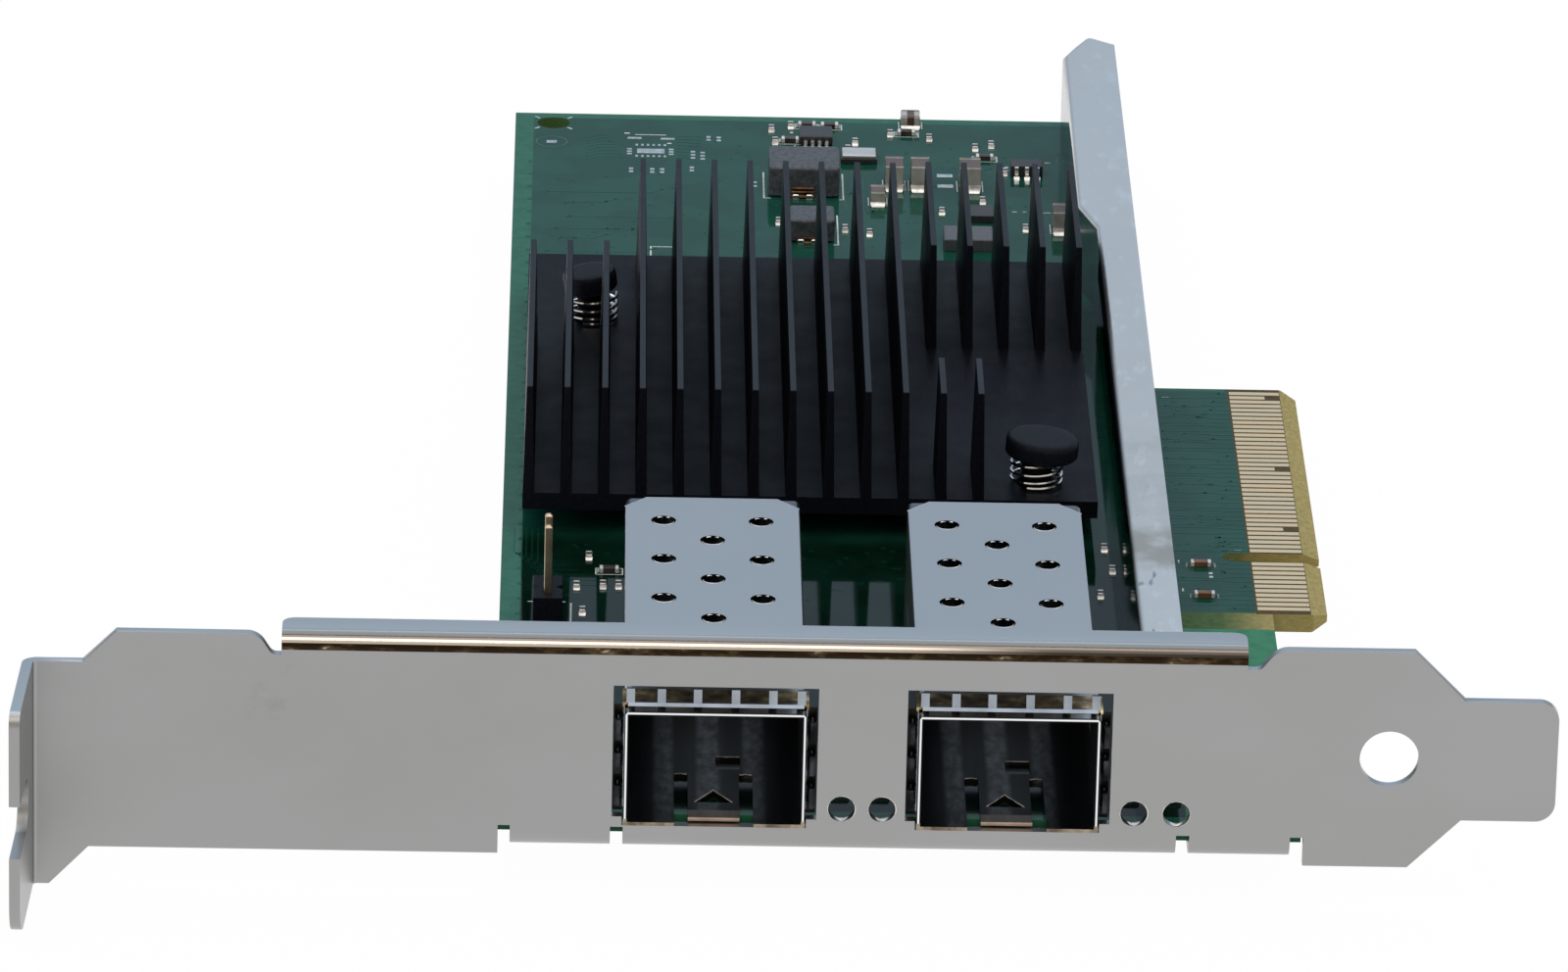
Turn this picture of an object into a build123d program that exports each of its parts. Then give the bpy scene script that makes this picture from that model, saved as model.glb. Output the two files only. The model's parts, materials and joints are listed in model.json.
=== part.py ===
"""Dual-port network interface card: board, bracket, cages, heat sink and small parts.

Lengths are millimetres. Pieces are drawn in the bracket's own frame (X along the
bracket, Y from its outside face into the card, Z up from its lower edge), then
moved so that the origin is the centre of the edge connector's key notch.
"""
from build123d import *
import math
import os

# bracket, a standard full-height blank
SHEET = 0.86
BRACKET_LENGTH = 120.02
BRACKET_WIDTH = 18.42
TAIL_WIDTH = 10.19
TAIL_CHAMFER = 4.115
TAIL_START = 108.46
TAIL_CORNER_R = 1.6
TAB_DEPTH = 11.43
TAB_INNER_X = -0.50
TAB_LEAN = 2.3
TAB_TIP_R = 2.8
TAB_TOP_R = 1.2
TAB_Z = (-3.25, BRACKET_WIDTH - 2.62)
TAB_NOTCH_R = 2.21
TAB_NOTCH_Z = 5.90
TAB_NOTCH_Y = -6.20
RELIEF_TOP = 2.40
RELIEFS_X = ((36.25, 37.20), (45.15, 46.15), (90.05, 91.10), (99.10, 100.15))
MOUNT_TABS_X = ((37.20, 45.15), (91.10, 99.10))
LOWER_LIP_X = (46.15, 90.05)
TAB_BEND_R = 2.0
TOP_FLANGE_X = (19.05, 95.25)
TOP_FLANGE_Y = 3.60
TOP_BEND_R = 1.5
TOP_RELIEF = 1.75
FLAPS_X = ((46.05, 60.10), (68.98, 83.00))
FLAP_REAR_Y = 30.75
FLAP_HOLE_R = 1.0
LED_HOLES_X = (63.45, 66.66, 86.63, 90.00)
LED_HOLE_Z = 4.25
LED_HOLE_R = 1.08
SPARE_HOLE = (106.70, 9.30)
SPARE_HOLE_R = 2.35

# board, a low-profile eight-lane outline
BOARD_T = 1.57
BOARD_TOP = 2.683
BOARD_BOTTOM = BOARD_TOP - BOARD_T
BOARD_FRONT = 2.10
BOARD_REAR = 167.65
BOARD_LEFT = 35.84
BOARD_LOWER = 100.10
BOARD_REAR_LOWER = 91.60
TONGUE_X = 104.74
KEY_Y = 59.05
KEY_W = 1.90
KEY_DEPTH = 8.25
FRONT_SEGMENT = 11.65
REAR_SEGMENT = 38.65
TONGUE_BEVEL = (1.40, 0.50)
CONTACT_X = (98.91, 103.28)
CONTACT_W = 0.70
CONTACT_T = 0.04
SHORT_CONTACT = 1.30
PIN_HOLES = ((80.90, 65.90), (43.20, 103.50))
PIN_HOLE_R = 1.55
CORNER_HOLE = (39.38, 165.00)
CORNER_HOLE_R = 1.50
SCREWS = ((41.15, 6.30), (95.10, 6.30))
SCREW_HOLE_R = 1.60

# pluggable-module cages
CAGES_X = (53.35, 76.60)
CAGE_HALF_W = 7.20
CAGE_TOP = 12.45
CAGE_WALL = 0.30
CAGE_Y = (-0.35, 45.50)
TONGUE_FRONT_Y = 0.80
CAGE_PINS_Y = (8.0, 19.0, 30.0, 41.0)
CAGE_PIN = (0.26, 0.85)
CAGE_PIN_HOLE_R = 0.52
CONNECTOR_Y = (34.2, 43.6)
CONNECTOR_HALF_W = 5.9
CUTOUT_MARGIN = 0.90
CUTOUT_HALF_W = CAGE_HALF_W + CUTOUT_MARGIN
CUTOUT_Z = (3.30, CAGE_TOP + 2.05)
CUTOUT_SILL_Z = 2.55

# heat sink
SINK_X = (37.50, 86.00)
SINK_Y = (61.55, 119.60)
SINK_Z = (5.00, 6.50)
FIN_TOP = 16.10
FIN_FOOT_T = 0.95
FIN_TIP_T = 0.50
LEFT_FIN_COUNT = 3
MIDDLE_FIN_COUNT = 8
RIGHT_FIN_COUNT = 5
SHORT_FIN_COUNT = 2
FIN_COUNT = LEFT_FIN_COUNT + MIDDLE_FIN_COUNT + RIGHT_FIN_COUNT
FIN_FIRST = SINK_X[0] + 0.50
FIN_PITCH = (SINK_X[1] - 0.60 - FIN_FIRST) / (FIN_COUNT - 1)
FIN_LEFT_Y = (61.55, 97.2)
FIN_MIDDLE_Y = (61.55, 118.4)
FIN_RIGHT_Y = (97.5, 118.8)
FIN_SHORT_Y = (61.55, 69.9)
PACKAGE_X, PACKAGE_Y = 62.05, 84.70

# stiffening bar
BAR_X = (87.90, 91.35)
BAR_Z = (BOARD_TOP, 10.30)
BAR_Y = (2.60, 167.90)
BAR_WEB = 1.00
BAR_FLANGE = 0.90
BAR_STEP_Y = (119.0, 124.5)
BAR_STEP_X = 86.45
BAR_PEAK = (88.55, 1.75)
BAR_BEND_R = 0.55
BAR_LUGS_Y = (20.0, 62.0, 108.0, 152.0)


def block(x, y, z):
    """Box between two corners, each axis given as (low, high)."""
    size = (x[1] - x[0], y[1] - y[0], z[1] - z[0])
    return Pos((x[0] + x[1]) / 2, (y[0] + y[1]) / 2, (z[0] + z[1]) / 2) * Box(*size)


def rod_z(x, y, z, r):
    return Pos(x, y, (z[0] + z[1]) / 2) * Cylinder(r, z[1] - z[0])


def rod_y(x, z, y, r):
    return Pos(x, (y[0] + y[1]) / 2, z) * Rot(90, 0, 0) * Cylinder(r, y[1] - y[0])


def plate_xy(points, z):
    """Flat plate from an outline in X and Y."""
    return Pos(0, 0, z[0]) * extrude(make_face(Polyline(*points, close=True)), z[1] - z[0])


def plate_xz(points, y):
    """Upright plate from an outline in X and Z."""
    outline = make_face(Polyline(*[(px, 0, pz) for px, pz in points], close=True))
    return Pos(0, y[0], 0) * extrude(outline, y[1] - y[0], dir=(0, 1, 0))


def folded_yz(path, radius, x):
    """Folded sheet: the path of its mid-plane in Y and Z, drawn out along X."""
    points = [(x[0], py, pz) for py, pz in path]
    return fold(points, radius, (1, 0, 0), x[1] - x[0])


def fold(points, radius, direction, length):
    """Sheet of one bend with outer bend radius `radius`."""
    a, b, c = (Vector(*p) for p in points)
    u, v = (a - b).normalized(), (c - b).normalized()
    t, inner = SHEET / 2, max(radius - SHEET, 0.05)
    outside = b - (u + v) * t
    inside = b + (u + v) * t
    reach_u, reach_v = (a - b).length, (c - b).length
    corners = [outside, outside + u * (reach_u + t), outside + u * (reach_u + t) + v * SHEET,
               inside, outside + v * (reach_v + t) + u * SHEET, outside + v * (reach_v + t)]
    face = make_face(Polyline(*corners, close=True))
    solid = extrude(face, length, dir=direction)
    along = Vector(*direction)
    mid = along * (length / 2)

    def edge_at(point):
        return min(solid.edges(), key=lambda e: (e.center() - (point + mid)).length)

    solid = fillet(edge_at(outside), radius)
    return fillet(edge_at(inside), inner)


def group(solids):
    return Compound(children=[s.solid() if not isinstance(s, Solid) else s for s in solids])


def make_board():
    y_front = KEY_Y - KEY_W / 2 - FRONT_SEGMENT
    y_rear = KEY_Y + KEY_W / 2 + REAR_SEGMENT
    c = 1.2
    outline = [(BOARD_LEFT, BOARD_FRONT), (BOARD_LOWER, BOARD_FRONT), (BOARD_LOWER, y_front),
               (TONGUE_X - c, y_front), (TONGUE_X, y_front + c), (TONGUE_X, y_rear - c),
               (TONGUE_X - c, y_rear), (BOARD_REAR_LOWER, y_rear), (BOARD_REAR_LOWER, BOARD_REAR),
               (BOARD_LEFT, BOARD_REAR)]
    z = (BOARD_BOTTOM, BOARD_TOP)
    board = plate_xy(outline, z)
    key_r = KEY_W / 2
    centre_x = TONGUE_X - KEY_DEPTH + key_r
    board -= block((centre_x, TONGUE_X + 1), (KEY_Y - key_r, KEY_Y + key_r), (z[0] - 1, z[1] + 1))
    board -= rod_z(centre_x, KEY_Y, (z[0] - 1, z[1] + 1), key_r)
    run, drop = TONGUE_BEVEL
    for face_z, inward in ((BOARD_TOP, -1), (BOARD_BOTTOM, 1)):
        wedge = [(TONGUE_X - run, face_z), (TONGUE_X + 0.1, face_z),
                 (TONGUE_X + 0.1, face_z + inward * drop * (run + 0.1) / run)]
        board -= plate_xz(wedge, (y_front - 1, y_rear + 1))
    through = (z[0] - 1, z[1] + 1)
    holes = [(x, y, PIN_HOLE_R) for x, y in PIN_HOLES]
    holes += [(x, y, SCREW_HOLE_R) for x, y in SCREWS]
    holes += [(CORNER_HOLE[0], CORNER_HOLE[1], CORNER_HOLE_R)]
    holes += [(x, y, CAGE_PIN_HOLE_R) for x, y in cage_pin_places()]
    holes += [(x, y, HEADER_HOLE_R) for x, y in header_places()]
    for x, y, r in holes:
        board -= rod_z(x, y, through, r)
    for y in BAR_LUGS_Y:
        board -= block((BAR_X[0], BAR_X[0] + 0.95), (y - 1.2, y + 1.2), through)
    return board


def make_edge_contacts():
    fingers = []
    for side in (1, -1):
        for pin in range(1, 50):
            y = KEY_Y - 1.5 - (11 - pin) if pin <= 11 else KEY_Y + 1.5 + (pin - 12)
            short = pin in (17, 31, 48) if side > 0 else pin == 1
            x1 = CONTACT_X[1] - (SHORT_CONTACT if short else 0)
            z = (BOARD_TOP, BOARD_TOP + CONTACT_T) if side > 0 else (BOARD_BOTTOM - CONTACT_T, BOARD_BOTTOM)
            fingers.append(block((CONTACT_X[0], x1), (y - CONTACT_W / 2, y + CONTACT_W / 2), z))
    return group(fingers)


def make_bracket():
    z_tail = ((BRACKET_WIDTH - TAIL_WIDTH) / 2, (BRACKET_WIDTH + TAIL_WIDTH) / 2)
    neck = TAIL_START + TAIL_CHAMFER
    outline = [(0.72, TAB_Z[0]), (3.85, 0), (TAIL_START, 0), (neck, z_tail[0]), (BRACKET_LENGTH, z_tail[0]),
               (BRACKET_LENGTH, z_tail[1]), (neck, z_tail[1]), (TAIL_START, BRACKET_WIDTH),
               (TOP_FLANGE_X[1] + 2.35, BRACKET_WIDTH), (TOP_FLANGE_X[1] + 0.95, BRACKET_WIDTH - TOP_RELIEF),
               (TOP_FLANGE_X[0] - 0.75, BRACKET_WIDTH - TOP_RELIEF), (TOP_FLANGE_X[0] - 1.85, BRACKET_WIDTH),
               (6.05, BRACKET_WIDTH), (3.40, TAB_Z[1]), (0.72, TAB_Z[1])]
    face = plate_xz(outline, (0, SHEET))
    corners = [e for e in face.edges().filter_by(Axis.Y) if abs(e.center().X - BRACKET_LENGTH) < 0.01]
    face = fillet(corners, TAIL_CORNER_R)
    # the strips along the two long edges that are folded instead of flat
    face -= block((TOP_FLANGE_X[0], TOP_FLANGE_X[1]), (-1, 2), (BRACKET_WIDTH - TOP_RELIEF - 0.2, BRACKET_WIDTH + 1))
    face -= block((LOWER_LIP_X[0] - 1, LOWER_LIP_X[1] + 1), (-1, 2), (-1, RELIEF_TOP))
    for x0, x1 in MOUNT_TABS_X:
        face -= block((x0 - 0.5, x1 + 0.5), (-1, 2), (-1, RELIEF_TOP))
    for x0, x1 in RELIEFS_X:
        face -= block((x0, x1), (-1, 2), (-1, RELIEF_TOP))
    half = SHEET / 2
    lip_z = BOARD_BOTTOM - half
    bracket = face
    bracket += folded_yz([(half, RELIEF_TOP + 0.6), (half, lip_z), (4.2, lip_z)], TAB_BEND_R, LOWER_LIP_X)
    for x0, x1 in MOUNT_TABS_X:
        bracket += folded_yz([(half, RELIEF_TOP + 0.6), (half, lip_z), (10.0, lip_z)], TAB_BEND_R, (x0, x1))
    top_z = BRACKET_WIDTH - half
    bracket += folded_yz([(half, BRACKET_WIDTH - TOP_RELIEF - 1.0), (half, top_z), (TOP_FLANGE_Y, top_z)], TOP_BEND_R, TOP_FLANGE_X)
    flap_z = (BRACKET_WIDTH - SHEET, BRACKET_WIDTH)
    for x0, x1 in FLAPS_X:
        flap = [(x0, TOP_FLANGE_Y - 0.5), (x1, TOP_FLANGE_Y - 0.5), (x1, FLAP_REAR_Y - 2.0),
                (x1 - 1.75, FLAP_REAR_Y), (x0 + 1.75, FLAP_REAR_Y), (x0, FLAP_REAR_Y - 2.0)]
        bracket += plate_xy(flap, flap_z)
        mid = (x0 + x1) / 2
        for row in range(6):
            y = 4.87 + 4.165 * row
            for dx in ((0,) if row % 2 == 0 else (-3.94, 3.94)):
                bracket -= rod_z(mid + dx, y, (flap_z[0] - 1, flap_z[1] + 1), FLAP_HOLE_R)
    for cx in CAGES_X:
        bracket -= block((cx - CUTOUT_HALF_W, cx + CUTOUT_HALF_W), (-2, 2), CUTOUT_Z)
        bracket -= block((cx - CAGE_HALF_W - 0.1, cx + CAGE_HALF_W + 0.1), (-2, 2), (CUTOUT_SILL_Z, 4.0))
    for x in LED_HOLES_X:
        bracket -= rod_y(x, LED_HOLE_Z, (-1, 2), LED_HOLE_R)
    bracket -= rod_y(SPARE_HOLE[0], SPARE_HOLE[1], (-1, 2), SPARE_HOLE_R)
    for x, y in SCREWS:
        bracket -= rod_z(x, y, (BOARD_BOTTOM - 2, BOARD_BOTTOM + 0.2), 1.50)
    # screw tab, leaning out a little, with its open notch
    lean = math.radians(TAB_LEAN)
    along = Vector(-math.sin(lean), -math.cos(lean), 0)
    outward = Vector(-math.cos(lean), math.sin(lean), 0)
    inside = Vector(TAB_INNER_X, 0, TAB_Z[0])
    tip = inside + along * TAB_DEPTH
    outside = inside + outward * SHEET - along * (SHEET * (1 - math.sin(lean)) / math.cos(lean))
    corners = [Vector(0.72, 0, TAB_Z[0]), inside, tip, tip + outward * SHEET, outside, Vector(0.72, SHEET, TAB_Z[0])]
    height = TAB_Z[1] - TAB_Z[0]
    tab = extrude(make_face(Polyline(*corners, close=True)), height, dir=(0, 0, 1))

    def nearest_edge(point):
        return min(tab.edges(), key=lambda e: (e.center() - point).length)

    middle = Vector(0, 0, height / 2)
    tab = fillet(nearest_edge(outside + middle), SHEET + 0.34)
    tab = fillet(nearest_edge(inside + middle), 0.34)
    tip_middle = tip + outward * (SHEET / 2)
    tab = fillet(nearest_edge(tip_middle), TAB_TIP_R)
    tab = fillet(nearest_edge(tip_middle + Vector(0, 0, height)), TAB_TOP_R)
    reach = (TAB_INNER_X - 3, TAB_INNER_X + 1)
    tab -= block(reach, (-TAB_DEPTH - 1, TAB_NOTCH_Y),
                 (TAB_NOTCH_Z - TAB_NOTCH_R, TAB_NOTCH_Z + TAB_NOTCH_R))
    tab -= Pos(sum(reach) / 2, TAB_NOTCH_Y, TAB_NOTCH_Z) * Rot(0, 90, 0) * Cylinder(TAB_NOTCH_R, 4)
    return (bracket + tab).solid()


def cage_pin_places():
    places = []
    for cx in CAGES_X:
        for side in (-1, 1):
            places += [(cx + side * (CAGE_HALF_W - CAGE_WALL / 2), y) for y in CAGE_PINS_Y]
    return places


def make_cage(cx):
    """Folded sheet cage: open at the front, with a latch tongue and solder-tail pins."""
    y, w = CAGE_Y, CAGE_WALL
    outer = block((cx - CAGE_HALF_W, cx + CAGE_HALF_W), y, (BOARD_TOP, CAGE_TOP))
    long_edges = [e for e in outer.edges().filter_by(Axis.Y) if e.center().Z > CAGE_TOP - 0.1]
    outer = fillet(long_edges, 0.55)
    inner = block((cx - CAGE_HALF_W + w, cx + CAGE_HALF_W - w), (y[0] - 1, y[1] - w), (BOARD_TOP + w, CAGE_TOP - w))
    cage = outer - inner
    sill = (BOARD_TOP - 1, BOARD_TOP + w + 0.2)
    # connector opening in the floor, then the slots beside the latch tongue
    cage -= block((cx - CONNECTOR_HALF_W - 0.2, cx + CONNECTOR_HALF_W + 0.2),
                  (CONNECTOR_Y[0] - 1.2, CONNECTOR_Y[1] + 1.0), sill)
    for side in (-1, 1):
        x = sorted((cx + side * 2.05, cx + side * 3.15))
        cage -= block(x, (y[0] - 1, 9.6), sill)
    cage -= block((cx - 2.1, cx + 2.1), (y[0] - 1, TONGUE_FRONT_Y), sill)
    latch = [(cx - 1.5, 3.9), (cx + 1.5, 3.9), (cx, 6.3)]
    cage -= plate_xy(latch, sill)
    cage -= block((cx + 0.2, cx + 2.2), (10.7, 13.2), sill)
    # heat openings in the roof and the two side latches
    for k in range(3):
        cage -= block((cx - 4.0, cx + 4.0), (12.0 + 9 * k, 17.0 + 9 * k), (CAGE_TOP - 1, CAGE_TOP + 1))
    for side in (-1, 1):
        wall_x = sorted((cx + side * (CAGE_HALF_W - 1), cx + side * (CAGE_HALF_W + 1)))
        for yc in (13.5, 35.5):
            cage -= block(wall_x, (yc - 2.5, yc + 2.5), (6.4, 7.0))
        for yc in CAGE_PINS_Y:
            xc = cx + side * (CAGE_HALF_W - w / 2)
            cage += block((xc - CAGE_PIN[0] / 2, xc + CAGE_PIN[0] / 2), (yc - CAGE_PIN[1] / 2, yc + CAGE_PIN[1] / 2),
                          (BOARD_BOTTOM - 1.0, BOARD_TOP + 0.6))
    return cage.solid()


def make_springs(cx):
    """Contact-spring collar between one cage and its window in the bracket."""
    t = 0.18
    gap = 0.0
    y = (1.1, 4.0)
    outer = block((cx - CAGE_HALF_W - t, cx + CAGE_HALF_W + t), y, (BOARD_TOP + 1.0, CAGE_TOP + t))
    collar = outer - block((cx - CAGE_HALF_W - gap, cx + CAGE_HALF_W + gap), (0, 5), (BOARD_TOP - 1, CAGE_TOP + gap))
    finger_w = 0.66
    z0 = CAGE_TOP
    outermost = CAGE_HALF_W - 0.45
    for x in (-outermost, -4.30, -1.45, 1.55, 4.50, outermost):
        side = [(1.15, z0), (-0.35, z0 + 0.75), (-0.05, z0 + 1.85), (0.20, z0 + 1.85), (0.0, z0 + 0.90), (1.3, z0 + t)]
        outline = make_face(Polyline(*[(cx + x - finger_w / 2, py, pz) for py, pz in side], close=True))
        collar += extrude(outline, finger_w, dir=(1, 0, 0))
    collar += block((cx - outermost - 0.2, cx + outermost + 0.2), (-0.40, -0.12), (z0 + 0.50, z0 + 0.82))
    for s in (-1, 1):
        for zc in (5.2, 8.0, 10.8):
            base = CAGE_HALF_W
            pts = [(s * base, 1.3), (s * (base + 0.30), -0.30), (s * (base + 0.62), -0.30), (s * (base + 0.85), 0.0),
                   (s * (base + 0.85), 0.22), (s * (base + 0.52), 0.10), (s * (base + t), 1.25)]
            pts = [(cx + px, py) for px, py in pts]
            face = make_face(Polyline(*[(px, py, zc - 0.85) for px, py in pts], close=True))
            collar += extrude(face, 1.7, dir=(0, 0, 1))
    return collar.solid()


def make_connector(cx):
    y, w = CONNECTOR_Y, CONNECTOR_HALF_W
    body = block((cx - w, cx + w), y, (BOARD_TOP, BOARD_TOP + 6.0))
    body -= block((cx - w + 0.8, cx + w - 0.8), (y[0] - 1, y[0] + 6.2), (BOARD_TOP + 3.3, BOARD_TOP + 4.9))
    body -= block((cx - w + 1.0, cx + w - 1.0), (y[0] - 1, y[0] + 1.2), (BOARD_TOP - 1, BOARD_TOP + 0.9))
    return body.solid()


def make_connector_contacts():
    contacts = []
    for cx in CAGES_X:
        for k in range(10):
            x = cx - 3.6 + 0.8 * k
            for z in ((BOARD_TOP + 3.3, BOARD_TOP + 3.5), (BOARD_TOP + 4.7, BOARD_TOP + 4.9)):
                contacts.append(block((x - 0.15, x + 0.15), (CONNECTOR_Y[0] + 0.8, CONNECTOR_Y[0] + 5.4), z))
            contacts.append(block((x - 0.15, x + 0.15), (CONNECTOR_Y[0] - 0.9, CONNECTOR_Y[0]), (BOARD_TOP, BOARD_TOP + 0.2)))
    return group(contacts)


def make_heat_sink():
    sink = block(SINK_X, SINK_Y, SINK_Z)
    first = 0
    for count, y in ((LEFT_FIN_COUNT, FIN_LEFT_Y), (MIDDLE_FIN_COUNT, FIN_MIDDLE_Y),
                     (SHORT_FIN_COUNT, FIN_SHORT_Y), (RIGHT_FIN_COUNT, FIN_RIGHT_Y)):
        for k in range(first, first + count):
            x = FIN_FIRST + FIN_PITCH * k
            foot, tip = FIN_FOOT_T / 2, FIN_TIP_T / 2
            sink += plate_xz([(x - foot, SINK_Z[1]), (x + foot, SINK_Z[1]), (x + tip, FIN_TOP), (x - tip, FIN_TOP)], y)
        # the short fins stand in line with the first of the right-hand ones
        first += 0 if y is FIN_SHORT_Y else count
    for x, y in PIN_HOLES:
        sink -= rod_z(x, y, (SINK_Z[0] - 1, SINK_Z[1] + 1), 1.70)
    return sink.solid()


def make_controller():
    substrate = block((PACKAGE_X - 12.5, PACKAGE_X + 12.5), (PACKAGE_Y - 12.5, PACKAGE_Y + 12.5),
                      (BOARD_TOP, BOARD_TOP + 1.15))
    lid_z = (BOARD_TOP + 1.15, SINK_Z[0] - 0.25)
    lid = block((PACKAGE_X - 9.5, PACKAGE_X + 9.5), (PACKAGE_Y - 9.5, PACKAGE_Y + 9.5), lid_z)
    lid = chamfer(lid.edges().group_by(Axis.Z)[-1], 0.2)
    pad = block((PACKAGE_X - 9.0, PACKAGE_X + 9.0), (PACKAGE_Y - 9.0, PACKAGE_Y + 9.0), (lid_z[1], SINK_Z[0]))
    return substrate, lid, pad


CAP_Z = (9.10, 10.75)
CAP_R = 3.10


def make_push_pins():
    pins = []
    for x, y in PIN_HOLES:
        cap = rod_z(x, y, CAP_Z, CAP_R)
        cap = chamfer(cap.edges().group_by(Axis.Z)[-1], 0.35)
        shaft = rod_z(x, y, (BOARD_BOTTOM - 0.2, CAP_Z[0] + 0.1), 1.35)
        barb = Pos(x, y, BOARD_BOTTOM - 1.35) * Cone(0.9, 1.95, 2.3)
        pin = cap + shaft + barb
        pin -= block((x - 0.3, x + 0.3), (y - 3, y + 3), (BOARD_BOTTOM - 3, BOARD_BOTTOM + 1.2))
        pins.append(pin.solid())
    return group(pins)


def make_pin_springs():
    springs = []
    wire, radius = 0.16, 2.15
    height = CAP_Z[0] - SINK_Z[1] - 1.79 * wire
    turns, steps = 4, 12
    count = turns * steps
    points = [(radius * math.sin(math.tau * k / steps), -radius * math.cos(math.tau * k / steps), height * k / count)
              for k in range(count + 1)]
    path = Polyline(*points)
    profile = Plane(origin=path @ 0, z_dir=path % 0) * RegularPolygon(wire, 6)
    spring = sweep(profile, path=path, transition=Transition.RIGHT)
    for x, y in PIN_HOLES:
        springs.append((Pos(x, y, SINK_Z[1] - spring.bounding_box().min.Z) * spring).solid())
    return group(springs)


def make_bar():
    top = BAR_Z[1]
    front, rear = BAR_Y
    outline = [(BAR_X[0], front), (BAR_X[1], front), (BAR_X[1], rear), (BAR_PEAK[0] + 0.7, rear + BAR_PEAK[1]),
               (BAR_PEAK[0], rear + BAR_PEAK[1]), (BAR_STEP_X + 1.05, rear - 0.6), (BAR_STEP_X, rear - 3.4),
               (BAR_STEP_X, BAR_STEP_Y[1]), (BAR_X[0], BAR_STEP_Y[0])]
    bar = plate_xy(outline, BAR_Z)
    bar -= block((BAR_X[0] + BAR_WEB, BAR_X[1] + 1), (front - 1, rear + 5), (BAR_Z[0] - 1, top - BAR_FLANGE))
    bend = [e for e in bar.edges() if abs(e.center().Z - top) < 0.01 and e.center().X < BAR_X[0] + 0.01]
    bar = fillet(bend, BAR_BEND_R)
    for y in BAR_LUGS_Y:
        bar += block((BAR_X[0] + 0.15, BAR_X[0] + 0.80), (y - 1.0, y + 1.0), (BOARD_BOTTOM - 0.6, BOARD_TOP + 0.5))
    return bar.solid()


def make_screws():
    screws = []
    for x, y in SCREWS:
        head = rod_z(x, y, (BOARD_TOP, BOARD_TOP + 1.9), 2.8)
        head = chamfer(head.edges().group_by(Axis.Z)[-1], 0.6)
        shank = rod_z(x, y, (BOARD_BOTTOM - 1.9, BOARD_TOP + 0.2), 1.45)
        cross = block((x - 1.6, x + 1.6), (y - 0.35, y + 0.35), (BOARD_TOP + 0.9, BOARD_TOP + 3))
        cross += block((x - 0.35, x + 0.35), (y - 1.6, y + 1.6), (BOARD_TOP + 0.9, BOARD_TOP + 3))
        screws.append((head + shank - cross).solid())
    return group(screws)


# two-pin header at the left edge, free above the board
HEADER_X = (38.60, 41.05)
HEADER_Y = (41.10, 46.20)
HEADER_HOLE_R = 0.51
HEADER_BASE_TOP = BOARD_TOP + 2.54


def header_places():
    xc = sum(HEADER_X) / 2
    return [(xc, sum(HEADER_Y) / 2 + d) for d in (-1.27, 1.27)]


def make_header():
    base = block(HEADER_X, HEADER_Y, (BOARD_TOP, HEADER_BASE_TOP))
    middle = sum(HEADER_Y) / 2
    for x in HEADER_X:
        base -= Pos(x, middle, BOARD_TOP + 1.27) * Rot(0, 0, 45) * Box(0.7, 0.7, 4)
    pins = []
    for x, y in header_places():
        base -= block((x - 0.32, x + 0.32), (y - 0.32, y + 0.32), (BOARD_TOP - 1, HEADER_BASE_TOP + 1))
        pin = block((x - 0.32, x + 0.32), (y - 0.32, y + 0.32), (BOARD_BOTTOM - 1.3, HEADER_BASE_TOP + 6.0))
        pins.append(chamfer(pin.edges().group_by(Axis.Z)[-1], 0.18).solid())
    return base.solid(), group(pins)


# small parts: (x low, x high, y low, y high, height)
LARGE_COIL = (59.15, 65.60, 145.75, 151.75, 2.95)
SMALL_COIL = (60.90, 65.00, 133.90, 138.00, 2.20)
FLASH = (62.15, 65.20, 159.90, 162.90, 0.95)
CRYSTAL = (65.90, 69.25, 155.10, 157.60, 0.80)
TALL_CAPS = ((69.85, 71.50, 148.0, 151.0, 2.35), (72.20, 73.90, 148.0, 151.0, 2.35),
             (76.65, 78.60, 148.0, 151.0, 2.35), (68.45, 69.75, 143.9, 146.2, 1.30),
             (84.85, 86.25, 137.2, 139.9, 2.10), (71.65, 73.40, 164.9, 167.0, 1.20))
DRIVER = (77.10, 79.60, 139.90, 142.90, 0.70)
POWER_STAGES = ((77.35, 79.30, 132.35, 136.10, 1.15), (74.85, 76.70, 132.35, 136.10, 1.15))
ARRAY_PART = (81.50, 84.40, 151.60, 155.20, 1.05)
FINE_CAPS = ((93.60, 95.60, 56.55, 57.60, 0.60), (93.60, 95.60, 49.60, 50.65, 0.60))
CHIPS_ACROSS = ((59.6, 164.0), (59.9, 160.6), (61.4, 165.0), (66.6, 158.8), (67.3, 160.7), (70.6, 163.2),
                (74.2, 162.2), (78.4, 159.7), (79.9, 160.6), (80.9, 153.2), (78.7, 145.4), (82.4, 138.3),
                (66.0, 137.4), (60.0, 139.0), (43.2, 56.6), (42.2, 49.9), (44.4, 50.2), (45.7, 50.2), (42.7, 44.3),
                (86.6, 60.3), (87.1, 55.4), (85.9, 49.8), (74.9, 142.4), (68.2, 136.4))
CHIPS_ALONG = ((62.9, 165.1), (65.0, 165.0), (72.1, 163.4), (44.9, 53.5), (79.2, 157.0), (61.3, 160.9))
BACK_CAPS = tuple((PACKAGE_X + 3.0 * (k % 5 - 2), PACKAGE_Y + 3.0 * (k // 5 - 1.5)) for k in range(20))
CHIP_LONG, CHIP_SHORT, CHIP_H, CHIP_END = 1.0, 0.52, 0.42, 0.24


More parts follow.
